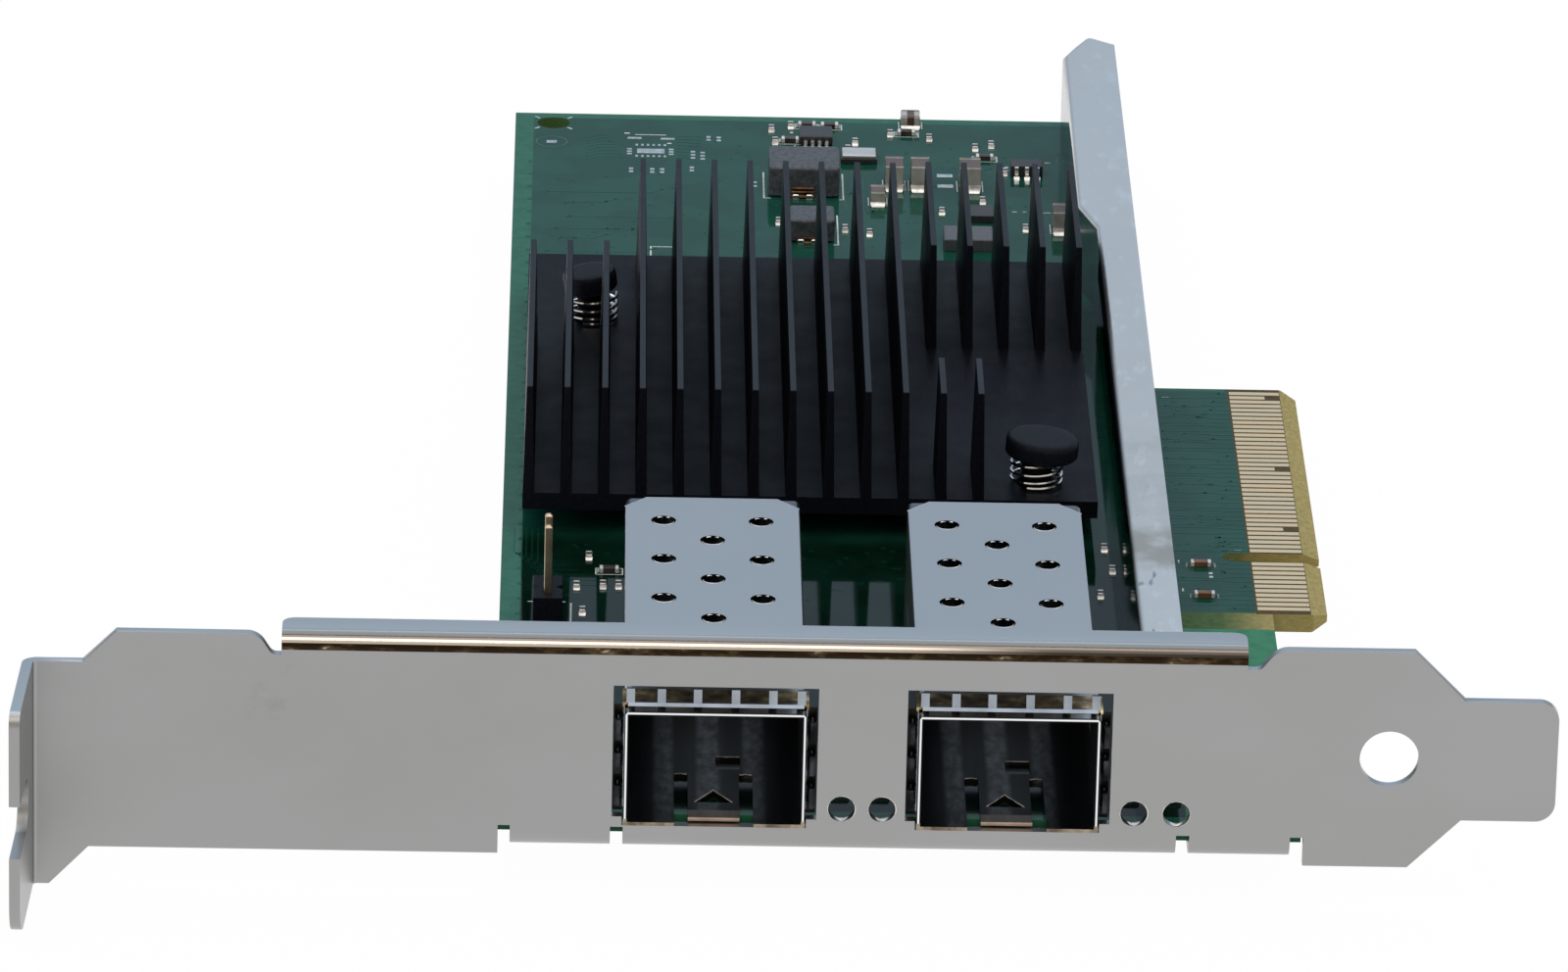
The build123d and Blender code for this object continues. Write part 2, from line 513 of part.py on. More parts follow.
def terminals_y(part, end, drop=0.0):
    """Body shortened by metal ends at its front and rear."""
    x0, x1, y0, y1, h = part
    z = (BOARD_TOP, BOARD_TOP + h)
    body = block((x0 + drop, x1 - drop), (y0 + end, y1 - end), (z[0], z[1] - drop))
    ends = [block((x0, x1), (y0, y0 + end), z), block((x0, x1), (y1 - end, y1), z)]
    return body, ends


def make_small_parts():
    nodes = {}
    coils, coil_ends = [], []
    for name, part in (("power_inductor_large", LARGE_COIL), ("power_inductor_small", SMALL_COIL)):
        x0, x1, y0, y1, h = part
        body = block((x0, x1), (y0, y1), (BOARD_TOP + 0.12, BOARD_TOP + h))
        body = fillet(body.edges().filter_by(Axis.Z), 0.45)
        body = chamfer(body.edges().group_by(Axis.Z)[-1], 0.18)
        nodes[name] = body.solid()
        mid = (x0 + x1) / 2
        for y in ((y0 + 0.1, y0 + 1.3), (y1 - 1.3, y1 - 0.1)):
            coil_ends.append(block((mid - 1.4, mid + 1.4), y, (BOARD_TOP, BOARD_TOP + 0.12)))
    nodes["inductor_terminals"] = group(coil_ends)

    x0, x1, y0, y1, h = FLASH
    flash = block((x0, x1), (y0, y1), (BOARD_TOP + 0.1, BOARD_TOP + h))
    nodes["flash_memory"] = chamfer(flash.edges().group_by(Axis.Z)[-1], 0.12).solid()
    leads = []
    for k in range(4):
        x = (x0 + x1) / 2 - 0.975 + 0.65 * k
        for y, out in ((y0, -1), (y1, 1)):
            path = [(y, 0.62), (y + out * 0.35, 0.62), (y + out * 0.50, 0.14), (y + out * 0.95, 0.14),
                    (y + out * 0.95, 0.0), (y + out * 0.38, 0.0), (y + out * 0.24, 0.46), (y, 0.46)]
            side = make_face(Polyline(*[(x - 0.15, py, BOARD_TOP + pz) for py, pz in path], close=True))
            leads.append(extrude(side, 0.3, dir=(1, 0, 0)))
    nodes["flash_leads"] = group(leads)

    x0, x1, y0, y1, h = CRYSTAL
    nodes["crystal_base"] = block((x0, x1), (y0, y1), (BOARD_TOP, BOARD_TOP + 0.5)).solid()
    lid = block((x0 + 0.12, x1 - 0.12), (y0 + 0.12, y1 - 0.12), (BOARD_TOP + 0.5, BOARD_TOP + h))
    nodes["crystal_lid"] = lid.solid()

    bodies, ends = [], []
    for part in TALL_CAPS:
        body, caps = terminals_y(part, 0.45, 0.03)
        bodies.append(body)
        ends += caps
    nodes["tall_capacitors"] = group(bodies)
    nodes["tall_capacitor_ends"] = group(ends)

    x0, x1, y0, y1, h = DRIVER
    nodes["driver_package"] = block((x0, x1), (y0, y1), (BOARD_TOP, BOARD_TOP + h)).solid()
    stages = []
    for x0, x1, y0, y1, h in POWER_STAGES:
        stage = block((x0, x1), (y0, y1), (BOARD_TOP, BOARD_TOP + h))
        stages.append(chamfer(stage.edges().group_by(Axis.Z)[-1], 0.1))
    nodes["power_stage_packages"] = group(stages)

    x0, x1, y0, y1, h = ARRAY_PART
    nodes["array_package"] = block((x0, x1), (y0 + 0.8, y1 - 0.8), (BOARD_TOP, BOARD_TOP + h)).solid()
    tags = []
    for k in range(3):
        x = (x0 + x1) / 2 + 0.95 * (k - 1)
        for y in ((y0, y0 + 0.8), (y1 - 0.8, y1)):
            tags.append(block((x - 0.2, x + 0.2), y, (BOARD_TOP, BOARD_TOP + 0.55)))
    nodes["array_terminals"] = group(tags)

    bodies, ends = [], []

    def chip(x, y, along_x, top=True, size=(CHIP_LONG, CHIP_SHORT, CHIP_H, CHIP_END)):
        long, short, h, end = size
        z = (BOARD_TOP, BOARD_TOP + h) if top else (BOARD_BOTTOM - h, BOARD_BOTTOM)
        for part, lo, hi in (("end", -long / 2, -long / 2 + end), ("body", -long / 2 + end, long / 2 - end),
                             ("end", long / 2 - end, long / 2)):
            half = short / 2 - (0.015 if part == "body" else 0)
            if along_x:
                solid = block((x + lo, x + hi), (y - half, y + half), z)
            else:
                solid = block((x - half, x + half), (y + lo, y + hi), z)
            (ends if part == "end" else bodies).append(solid)

    for x, y in CHIPS_ACROSS:
        chip(x, y, False)
    for x, y in CHIPS_ALONG:
        chip(x, y, True, size=(1.6, 0.8, 0.45, 0.3))
    for x0, x1, y0, y1, h in FINE_CAPS:
        chip((x0 + x1) / 2, (y0 + y1) / 2, True, size=(x1 - x0, y1 - y0, h, 0.35))
    nodes["chip_bodies"] = group(bodies)
    nodes["chip_end_caps"] = group(ends)
    bodies, ends = [], []
    for x, y in BACK_CAPS:
        chip(x, y, True, top=False)
    nodes["back_capacitors"] = group(bodies)
    nodes["back_capacitor_ends"] = group(ends)

    leds = []
    for x in LED_HOLES_X:
        led = block((x - 0.8, x + 0.8), (7.2, 8.0), (BOARD_TOP, BOARD_TOP + 1.2))
        leds.append(chamfer(led.edges().group_by(Axis.Z)[-1], 0.2))
    nodes["status_leds"] = group(leds)
    return nodes


substrate, lid, pad = make_controller()
header_base, header_pins = make_header()
parts = {
    "board": make_board().solid(),
    "edge_contacts": make_edge_contacts(),
    "io_bracket": make_bracket(),
    "bracket_screws": make_screws(),
    "module_cage_1": make_cage(CAGES_X[0]),
    "module_cage_2": make_cage(CAGES_X[1]),
    "cage_springs_1": make_springs(CAGES_X[0]),
    "cage_springs_2": make_springs(CAGES_X[1]),
    "module_connector_1": make_connector(CAGES_X[0]),
    "module_connector_2": make_connector(CAGES_X[1]),
    "module_contacts": make_connector_contacts(),
    "heat_sink": make_heat_sink(),
    "controller_substrate": substrate.solid(),
    "controller_lid": lid.solid(),
    "thermal_pad": pad.solid(),
    "push_pins": make_push_pins(),
    "push_pin_springs": make_pin_springs(),
    "stiffening_bar": make_bar(),
    "header_base": header_base,
    "header_pins": header_pins,
}
parts.update(make_small_parts())

# origin: centre of the key notch at the tongue's edge, half way through the board
origin = Pos(-TONGUE_X, -KEY_Y, -(BOARD_TOP - BOARD_T / 2))
os.makedirs("parts", exist_ok=True)
for name, shape in parts.items():
    export_step(origin * shape, f"parts/{name}.step")
    print(name, len(shape.solids()), round(shape.volume, 2))
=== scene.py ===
"""Looks of the network card: finishes, fine parts, light and camera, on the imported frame."""
import json
import math
import random

import bmesh
import bpy
from mathutils import Matrix, Quaternion, Vector

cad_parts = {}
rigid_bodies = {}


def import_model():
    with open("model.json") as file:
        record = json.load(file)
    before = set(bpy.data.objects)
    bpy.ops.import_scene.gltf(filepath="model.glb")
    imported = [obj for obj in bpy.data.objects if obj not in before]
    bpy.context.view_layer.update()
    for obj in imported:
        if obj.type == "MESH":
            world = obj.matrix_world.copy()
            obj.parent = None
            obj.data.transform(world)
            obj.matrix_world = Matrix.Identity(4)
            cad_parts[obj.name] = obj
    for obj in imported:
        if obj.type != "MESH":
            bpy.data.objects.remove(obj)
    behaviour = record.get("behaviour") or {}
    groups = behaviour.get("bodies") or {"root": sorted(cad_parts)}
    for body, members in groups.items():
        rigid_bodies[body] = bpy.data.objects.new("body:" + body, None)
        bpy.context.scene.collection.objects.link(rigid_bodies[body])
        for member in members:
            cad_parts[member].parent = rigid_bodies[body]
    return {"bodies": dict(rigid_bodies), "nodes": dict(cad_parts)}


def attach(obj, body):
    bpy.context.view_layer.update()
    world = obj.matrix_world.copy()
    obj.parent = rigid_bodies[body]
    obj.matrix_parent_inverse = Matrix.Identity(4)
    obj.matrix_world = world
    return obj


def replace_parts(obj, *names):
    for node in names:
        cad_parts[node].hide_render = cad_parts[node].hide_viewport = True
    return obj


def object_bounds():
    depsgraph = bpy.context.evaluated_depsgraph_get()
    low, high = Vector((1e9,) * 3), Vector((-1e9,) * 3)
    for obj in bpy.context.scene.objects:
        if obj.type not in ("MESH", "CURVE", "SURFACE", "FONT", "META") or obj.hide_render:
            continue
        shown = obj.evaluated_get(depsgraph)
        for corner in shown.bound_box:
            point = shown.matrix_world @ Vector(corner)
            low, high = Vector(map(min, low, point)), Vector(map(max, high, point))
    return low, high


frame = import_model()
nodes = frame["nodes"]
cad_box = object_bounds()
BODY = sorted(frame["bodies"])[0]

# The card is described in millimetres from the bracket's left corner; the frame's
# origin is the key notch of the edge connector.
ORIGIN = Vector((104.74, 59.05, 1.898))
BOARD_TOP = 2.683
BOARD_BOTTOM = 1.113
CAGES_X = (53.35, 76.60)
SCREWS = ((41.15, 6.30), (95.10, 6.30))
PIN_PLACES = ((80.90, 65.90), (43.20, 103.50))
CORNER_HOLE = (39.38, 165.00)
HEADER_PINS = ((39.825, 42.38), (39.825, 44.92))
CAGE_PINS_Y = (8.0, 19.0, 30.0, 41.0)
BAR_LUGS_Y = (20.0, 62.0, 108.0, 152.0)
TARGETS = ((39.24, 159.83), (86.72, 156.93))
FLAPS_X = ((46.05, 60.10), (68.98, 83.00))
LAMP_HOLES_X = (63.45, 66.66, 86.63, 90.00)
LEFT_RIM_X = 37.55
BAR_RIGHT_X = 91.0
CONTACTS_X = 98.75
SHADE_END_Y = 62.0
TONGUE_Y = 46.4
REAR_CAP_Y = 164.5
REAR_CAP_MIDDLE_X = (72.20, 72.88)
FINE_CAPS_X = 92.0
WELD = 0.0000008


def at(x, y, z):
    return (Vector((x, y, z)) - ORIGIN) * 0.001


def mm(value):
    return value * 0.001


def blend_stops(tree, source, stops):
    """Smooth blend between (position, value or colour) stops."""
    ramp = tree.nodes.new("ShaderNodeValToRGB")
    elements = ramp.color_ramp.elements
    while len(elements) < len(stops):
        elements.new(0.5)
    for element, (place, value) in zip(elements, stops):
        element.position = place
        element.color = (value, value, value, 1) if isinstance(value, (int, float)) else (*value, 1)
    tree.links.new(source, ramp.inputs["Fac"])
    return ramp.outputs["Color"]


# Materials. Each finish is one function; Surface holds the node helpers they share.
class Surface:
    """One procedural material, with short names for the nodes it is made of."""

    def __init__(self, name, color, roughness, metallic=0.0, specular=0.5):
        self.mat = bpy.data.materials.new(name)
        self.mat.use_nodes = True
        self.tree = self.mat.node_tree
        self.shader = self.tree.nodes["Principled BSDF"]
        self.set("Base Color", (*color, 1))
        self.set("Roughness", roughness)
        self.set("Metallic", metallic)
        self.set("Specular IOR Level", specular)
        self.coords = self.tree.nodes.new("ShaderNodeTexCoord")
        self.mat.diffuse_color = (*color, 1)

    def set(self, socket, value):
        self.shader.inputs[socket].default_value = value

    def node(self, kind, **settings):
        made = self.tree.nodes.new(kind)
        for key, value in settings.items():
            setattr(made, key, value)
        return made

    def link(self, a, b):
        self.tree.links.new(a, b)

    def noise(self, scale, detail=3.0, stretch=(1, 1, 1), rough=0.55):
        """Noise over the object; scale is features per metre."""
        mapping = self.node("ShaderNodeMapping")
        mapping.inputs["Scale"].default_value = stretch
        self.link(self.coords.outputs["Object"], mapping.inputs["Vector"])
        noise = self.node("ShaderNodeTexNoise")
        noise.inputs["Scale"].default_value = scale
        noise.inputs["Detail"].default_value = detail
        noise.inputs["Roughness"].default_value = rough
        self.link(mapping.outputs["Vector"], noise.inputs["Vector"])
        return noise.outputs["Fac"]

    def ramp(self, source, stops):
        return blend_stops(self.tree, source, stops)

    def math(self, operation, a, b=0.0):
        node = self.node("ShaderNodeMath", operation=operation)
        for socket, value in zip(node.inputs, (a, b)):
            if isinstance(value, (int, float)):
                socket.default_value = value
            else:
                self.link(value, socket)
        return node.outputs[0]

    def both(self, *masks):
        """Product of several masks."""
        total = masks[0]
        for mask in masks[1:]:
            total = self.math("MULTIPLY", total, mask)
        return total

    def either(self, *masks):
        """Largest of several masks."""
        total = masks[0]
        for mask in masks[1:]:
            total = self.math("MAXIMUM", total, mask)
        return total

    def flip(self, mask):
        return self.math("SUBTRACT", 1.0, mask)

    def mix(self, factor, a, b):
        node = self.node("ShaderNodeMix", data_type="RGBA")
        for socket, value in ((node.inputs[0], factor), (node.inputs[6], a), (node.inputs[7], b)):
            if isinstance(value, (int, float)):
                socket.default_value = value
            elif isinstance(value, tuple):
                socket.default_value = (*value, 1)
            else:
                self.link(value, socket)
        return node.outputs[2]

    def axis(self, name):
        split = self.node("ShaderNodeSeparateXYZ")
        self.link(self.coords.outputs["Object"], split.inputs[0])
        return split.outputs[name]

    def facing(self, name):
        """Component of the surface's own normal along one axis of the object."""
        split = self.node("ShaderNodeSeparateXYZ")
        self.link(self.coords.outputs["Normal"], split.inputs[0])
        return split.outputs[name]

    def step(self, value, low, high):
        """0 below low, 1 above high, smooth between."""
        ranger = self.node("ShaderNodeMapRange", interpolation_type="SMOOTHSTEP")
        self.link(value, ranger.inputs["Value"])
        ranger.inputs["From Min"].default_value = low
        ranger.inputs["From Max"].default_value = high
        return ranger.outputs[0]

    def above(self, name, place, soft=0.05):
        """1 where an axis is past a place (mm, in the card's own measure), else 0."""
        offset = ORIGIN["XYZ".index(name)]
        return self.step(self.axis(name), mm(place - soft - offset), mm(place + soft - offset))

    def below(self, name, place, soft=0.05):
        return self.flip(self.above(name, place, soft))

    def within(self, name, low, high, soft=0.05):
        return self.both(self.above(name, low, soft), self.below(name, high, soft))

    def color(self, source):
        self.link(source, self.shader.inputs["Base Color"])

    def roughness(self, source):
        self.link(source, self.shader.inputs["Roughness"])

    def bump(self, height, depth, strength=1.0):
        """Fine relief, depth in millimetres."""
        bump = self.node("ShaderNodeBump")
        bump.inputs["Distance"].default_value = mm(depth)
        bump.inputs["Strength"].default_value = strength
        self.link(height, bump.inputs["Height"])
        self.link(bump.outputs["Normal"], self.shader.inputs["Normal"])


def plated_sheet():
    """Satin nickel plate: polished along the long bend, with painted reflections there, painted lighter tops,
    painted shade in the flap holes, faint handling smudges, fine speckle.
    """
    s = Surface("plated_sheet", (0.37, 0.37, 0.37), 0.30, metallic=1.0)
    speckle = s.noise(5200, 2)
    cloud = s.noise(45, 4, (1, 1, 1.6))
    tint = s.ramp(cloud, ((0.30, (0.350, 0.349, 0.346)), (0.62, (0.364, 0.364, 0.364))))
    tint = s.mix(s.ramp(speckle, ((0.35, 0.0), (0.75, 0.06))), tint, (0.46, 0.46, 0.47))
    blot = s.both(s.within("X", 16.4, 19.8, 0.6), s.within("Z", 11.4, 16.9, 0.6),
                  s.ramp(s.noise(420, 3), ((0.50, 0.0), (0.66, 0.40))))
    tint = s.mix(blot, tint, (0.29, 0.28, 0.26))
    # painted highlight: faces that look up are painted lighter than the upright ones
    lying = s.step(s.facing("Z"), 0.75, 0.95)
    tint = s.mix(lying, tint, s.ramp(cloud, ((0.30, (0.455, 0.458, 0.462)), (0.62, (0.472, 0.476, 0.482)))))
    # painted reflections across the long bend, from its lower edge up: a dark brown band, a cream one that
    # darkens to the right, then grey
    bend = s.both(s.above("Z", 17.10, 0.03), s.below("Y", 1.31, 0.03), s.within("X", 18.8, 95.6, 0.1))
    lift = s.facing("Z")
    brown = ((0.48, (0.026, 0.016, 0.008)), (0.64, (0.085, 0.058, 0.030)), (0.76, (0.60, 0.50, 0.36)))
    painted_brown_reflection = s.ramp(s.noise(1500, 4, (0.35, 1, 1)), brown)
    painted_cream_reflection = s.mix(s.above("X", 72.0, 9.0), (0.80, 0.74, 0.66), (0.085, 0.075, 0.065))
    grey = s.ramp(lift, ((0.80, (0.21, 0.215, 0.22)), (0.95, (0.23, 0.235, 0.24)),
                         (0.988, (0.32, 0.32, 0.32)), (1.0, (0.46, 0.46, 0.46))))
    upper = s.mix(s.step(lift, 0.76, 0.80), (0.25, 0.20, 0.17), grey)
    painted_bend_reflection = s.mix(s.step(lift, 0.395, 0.44), painted_brown_reflection, s.mix(s.step(lift, 0.68, 0.72), painted_cream_reflection, upper))
    tint = s.mix(bend, tint, painted_bend_reflection)
    flaps = [s.within("X", left + 0.4, right - 0.4) for left, right in FLAPS_X]
    upright = s.flip(s.step(s.math("ABSOLUTE", lift), 0.3, 0.6))
    # painted shade: the inner walls of the flap holes are painted near black
    painted_shade_hole_walls = s.both(s.either(*flaps), s.within("Y", 3.8, 27.0, 0.02), upright)
    s.color(s.mix(painted_shade_hole_walls, tint, (0.012, 0.014, 0.017)))
    s.roughness(s.mix(bend, s.ramp(cloud, ((0.25, 0.36), (0.65, 0.30))), (0.05, 0.05, 0.05)))
    s.bump(speckle, 0.003)
    return s.mat


def solder_mask():
    """Glossy teal mask over copper, lighter where no copper lies under it, bare laminate on cut edges,
    painted shade under the flaps and in front of the heat sink.
    """
    s = Surface("solder_mask", (0.004, 0.046, 0.034), 0.06, specular=0.12)
    pour = s.noise(160, 3)
    deep = s.ramp(pour, ((0.44, (0.0050, 0.051, 0.034)), (0.56, (0.0074, 0.064, 0.043))))
    # painted shade: left of the bar and in front of SHADE_END_Y the pour is painted darker, for the shadow of
    # the flaps and the heat sink
    shade = s.ramp(pour, ((0.44, (0.0013, 0.010, 0.0055)), (0.56, (0.0020, 0.015, 0.009))))
    deep = s.mix(s.both(s.below("Y", SHADE_END_Y, 3.0), s.below("X", BAR_RIGHT_X, 0.1)), deep, shade)
    weave = s.noise(900, 2)
    strip = s.both(s.above("X", BAR_RIGHT_X), s.below("Y", 43.0, 0.1))
    beside_slot = s.both(s.above("Y", 98.1, 0.1), s.within("X", 90.9, 98.5, 0.1))
    rim = s.either(s.below("X", LEFT_RIM_X, 0.12), s.above("Y", 166.4, 0.2), s.below("Y", 3.1, 0.1),
                   beside_slot)
    mask = s.mix(rim, deep, s.ramp(weave, ((0.35, (0.014, 0.105, 0.060)), (0.65, (0.020, 0.130, 0.078)))))
    mask = s.mix(strip, mask, s.ramp(weave, ((0.35, (0.022, 0.165, 0.075)), (0.65, (0.034, 0.205, 0.100)))))
    fibre = s.noise(1500, 3, (1, 1, 6))
    laminate = s.ramp(fibre, ((0.3, (0.27, 0.215, 0.070)), (0.7, (0.40, 0.33, 0.13))))
    green_wall = s.ramp(fibre, ((0.3, (0.035, 0.085, 0.022)), (0.7, (0.075, 0.13, 0.04))))
    bare = s.mix(s.above("X", 98.0, 3.0), green_wall, laminate)
    band = s.both(s.within("Y", 43.0, 46.6, 0.12), s.within("X", BAR_RIGHT_X, 100.2))
    mask = s.mix(band, mask, bare)
    wall = s.mix(s.below("Y", TONGUE_Y), bare, (0.030, 0.160, 0.080))
    flat = s.math("GREATER_THAN", s.math("ABSOLUTE", s.facing("Z")), 0.97)
    tongue = s.both(s.above("X", CONTACTS_X, 0.03), s.above("Y", TONGUE_Y, 0.03))
    tip = s.above("X", 103.34, 0.03)
    between = s.ramp(fibre, ((0.3, (0.055, 0.034, 0.012)), (0.7, (0.095, 0.064, 0.026))))
    s.color(s.mix(flat, wall, s.mix(tongue, mask, s.mix(tip, between, laminate))))
    masked = s.both(flat, s.flip(s.either(tongue, band)))
    s.roughness(s.ramp(masked, ((0.0, 0.55), (1.0, 0.06))))
    s.bump(s.noise(600, 2), 0.005, 0.3)
    return s.mat


def lighter_mask():
    """Mask lying over a track or via, a shade lighter than the bare pour, and painted darker in front of the
    heat sink as painted shade.
    """
    s = Surface("mask_over_track", (0.008, 0.058, 0.045), 0.08, specular=0.12)
    lit = s.ramp(s.noise(700, 2), ((0.4, (0.0075, 0.068, 0.047)), (0.6, (0.012, 0.088, 0.062))))
    # painted shade: in front of SHADE_END_Y, left of the bar, the tracks are painted darker like the pour
    # round them
    shaded = s.both(s.below("Y", SHADE_END_Y, 3.0), s.within("X", 37.6, BAR_RIGHT_X, 0.1))
    s.color(s.mix(shaded, lit, (0.0035, 0.029, 0.019)))
    return s.mat


def mottled(name, color, roughness, scale, tones, detail=3, relief=0.0, **shader):
    """A plain finish: two tones of fine noise, and a relief of the same noise."""
    s = Surface(name, color, roughness, **shader)
    tone = s.noise(scale, detail)
    s.color(s.ramp(tone, tones))
    if relief:
        s.bump(tone, relief)
    return s


def silk_ink():
    """White print on the board."""
    tones = ((0.3, (0.40, 0.47, 0.45)), (0.6, (0.66, 0.70, 0.68)))
    return mottled("silk_ink", (0.62, 0.66, 0.64), 0.55, 2600, tones, detail=2, relief=0.006).mat


def gold():
    """Hard gold, with faint wear drawn along the fingers."""
    s = Surface("gold_plate", (0.86, 0.66, 0.44), 0.30, metallic=1.0)
    wear = s.noise(900, 3, (0.18, 1, 1))
    s.color(s.ramp(wear, ((0.3, (0.90, 0.64, 0.37)), (0.7, (1.0, 0.78, 0.48)))))
    s.roughness(s.ramp(wear, ((0.3, 0.38), (0.7, 0.26))))
    s.bump(wear, 0.008)
    return s.mat


def pin_plate():
    """Dull tan plate of the header's square pins."""
    tones = ((0.3, (0.46, 0.35, 0.22)), (0.7, (0.66, 0.54, 0.40)))
    return mottled("pin_plate", (0.55, 0.44, 0.30), 0.30, 500, tones, relief=0.01, metallic=1.0).mat


def cage_sheet():
    """Nickel-plated cage sheet, painted darker at its rear end as painted shade; its raw front lip is bright
    in the middle and dark at its two corners.
    """
    s = Surface("cage_sheet", (0.42, 0.41, 0.39), 0.26, metallic=1.0)
    brush = s.noise(700, 3, (1, 0.08, 1))
    base = s.ramp(brush, ((0.3, (0.34, 0.335, 0.32)), (0.7, (0.47, 0.465, 0.45))))
    front = s.below("Y", -0.25, 0.03)
    cores = [s.within("Z", 12.22, 12.37, 0.02)]
    for cx in CAGES_X:
        cores += [s.within("X", cx + a, cx + b, 0.02) for a, b in ((-7.12, -6.98), (6.98, 7.12))]
    edge = s.mix(s.either(*cores), (0.035, 0.035, 0.035), (0.95, 0.95, 0.95))
    raw = s.ramp(s.noise(900, 3), ((0.35, (0.14, 0.105, 0.075)), (0.65, (0.36, 0.30, 0.23))))
    # painted shade: the rear end of the cages, by the heat sink, is painted darker
    base = s.mix(s.above("Y", 43.0, 0.8), base, (0.16, 0.165, 0.17))
    s.color(s.mix(front, base, s.mix(s.above("Z", 3.25), raw, edge)))
    s.bump(brush, 0.01)
    return s.mat


def cage_inside():
    """Inside of a cage, painted near black as painted shade, with the rubbed bands that the module runs on.
    """
    s = Surface("cage_inside", (0.05, 0.05, 0.052), 0.34, metallic=1.0)
    brush = s.noise(700, 3, (1, 0.06, 1))
    # painted shade: the sheet inside the cage is painted far darker than outside
    base = s.ramp(brush, ((0.3, (0.026, 0.024, 0.021)), (0.7, (0.050, 0.046, 0.041))))
    bands = [s.within("X", cx + a, cx + b, 0.28) for cx in CAGES_X
             for a, b in ((-4.75, -3.25), (-1.28, 0.46), (2.44, 4.06))]
    rubbed = s.ramp(s.noise(1500, 4, (1, 0.5, 1)),
                    ((0.32, (0.09, 0.085, 0.078)), (0.66, (0.24, 0.23, 0.215))))
    tone = s.mix(s.either(*bands), base, rubbed)
    lips = [s.within("X", cx - 2.06, cx + 2.06, 0.02) for cx in CAGES_X]
    lip = s.both(s.either(*lips), s.below("Y", 2.3, 0.12), s.below("Z", 3.3))
    s.color(s.mix(lip, tone, s.ramp(brush, ((0.3, (0.30, 0.21, 0.16)), (0.7, (0.52, 0.40, 0.32))))))
    s.bump(brush, 0.012)
    return s.mat


def latch_copper():
    """Copper-coloured lip of the cages' latches."""
    tones = ((0.3, (0.46, 0.33, 0.26)), (0.7, (0.62, 0.47, 0.38)))
    return mottled("latch_copper", (0.55, 0.40, 0.31), 0.32, 700, tones, relief=0.01, metallic=1.0).mat


def spring_sheet():
    """Cool bright spring strip over the mouth, with painted gold reflections on its collar and painted shade
    on its low sides.
    """
    s = Surface("spring_sheet", (0.44, 0.48, 0.54), 0.24, metallic=1.0)
    tone = s.noise(420, 3)
    bright = s.ramp(tone, ((0.35, (0.34, 0.38, 0.44)), (0.6, (0.44, 0.49, 0.56))))
    # painted reflection: the collar is painted from dark brown to bright gold
    painted_gold_reflection = s.ramp(s.noise(650, 4), ((0.36, (0.10, 0.05, 0.015)), (0.52, (0.42, 0.25, 0.09)),
                                     (0.70, (0.95, 0.74, 0.36))))
    collar = s.both(s.above("Y", 0.9, 0.1), s.above("Z", 12.3))
    sides = [s.within("X", cx + a, cx + b, 0.04) for cx in CAGES_X for a, b in ((-8.3, -7.25), (7.25, 8.3))]
    low = s.both(s.either(*sides), s.below("Z", 12.3))
    # painted shade: the low side springs are painted near black
    painted_side_shade = s.ramp(tone, ((0.45, (0.008, 0.009, 0.010)), (0.66, (0.050, 0.054, 0.058))))
    s.color(s.mix(low, s.mix(collar, bright, painted_gold_reflection), painted_side_shade))
    s.bump(tone, 0.02)
    return s.mat


def black_anodised():
    """Black anodised aluminium: blue-black, fine drawn grain, the fin tops painted a shade lighter as a
    painted highlight.
    """
    s = Surface("black_anodised", (0.006, 0.007, 0.010), 0.42, specular=0.05)
    grain = s.noise(2600, 3, (1, 0.15, 1))
    base = s.ramp(grain, ((0.3, (0.0038, 0.0044, 0.0074)), (0.7, (0.0068, 0.0080, 0.0124))))
    # painted highlight: everything above the fin tops' height is painted lighter
    tops = s.above("Z", 16.02, 0.02)
    s.color(s.mix(tops, base, (0.022, 0.026, 0.034)))
    s.roughness(s.ramp(s.noise(300, 3), ((0.3, 0.34), (0.7, 0.44))))
    s.bump(grain, 0.004)
    return s.mat


def black_plastic():
    """Dull black moulding of connectors, header and push pins."""
    tones = ((0.3, (0.0050, 0.0060, 0.0095)), (0.7, (0.0095, 0.011, 0.017)))
    return mottled("black_plastic", (0.007, 0.008, 0.012), 0.40, 3500,
                   tones, detail=2, relief=0.006, specular=0.06).mat


def moulded_epoxy():
    """Dark moulded body of the chips."""
    tones = ((0.35, (0.016, 0.017, 0.020)), (0.7, (0.036, 0.037, 0.042)))
    return mottled("moulded_epoxy", (0.022, 0.022, 0.024), 0.48, 5200, tones, detail=2, relief=0.01).mat


def grey_epoxy():
    """Paler moulded tops of the power chips."""
    tones = ((0.35, (0.060, 0.066, 0.075)), (0.7, (0.098, 0.105, 0.115)))
    return mottled("grey_epoxy", (0.06, 0.065, 0.075), 0.5, 5200, tones, detail=2, relief=0.01).mat


def steel_wire():
    """Bright spring wire and screw steel."""
    s = Surface("steel_wire", (0.80, 0.79, 0.76), 0.14, metallic=1.0)
    drawn = s.noise(900, 2)
    s.color(s.ramp(drawn, ((0.3, (0.70, 0.68, 0.64)), (0.7, (0.95, 0.93, 0.90)))))
    s.roughness(s.ramp(drawn, ((0.3, 0.10), (0.7, 0.20))))
    return s.mat


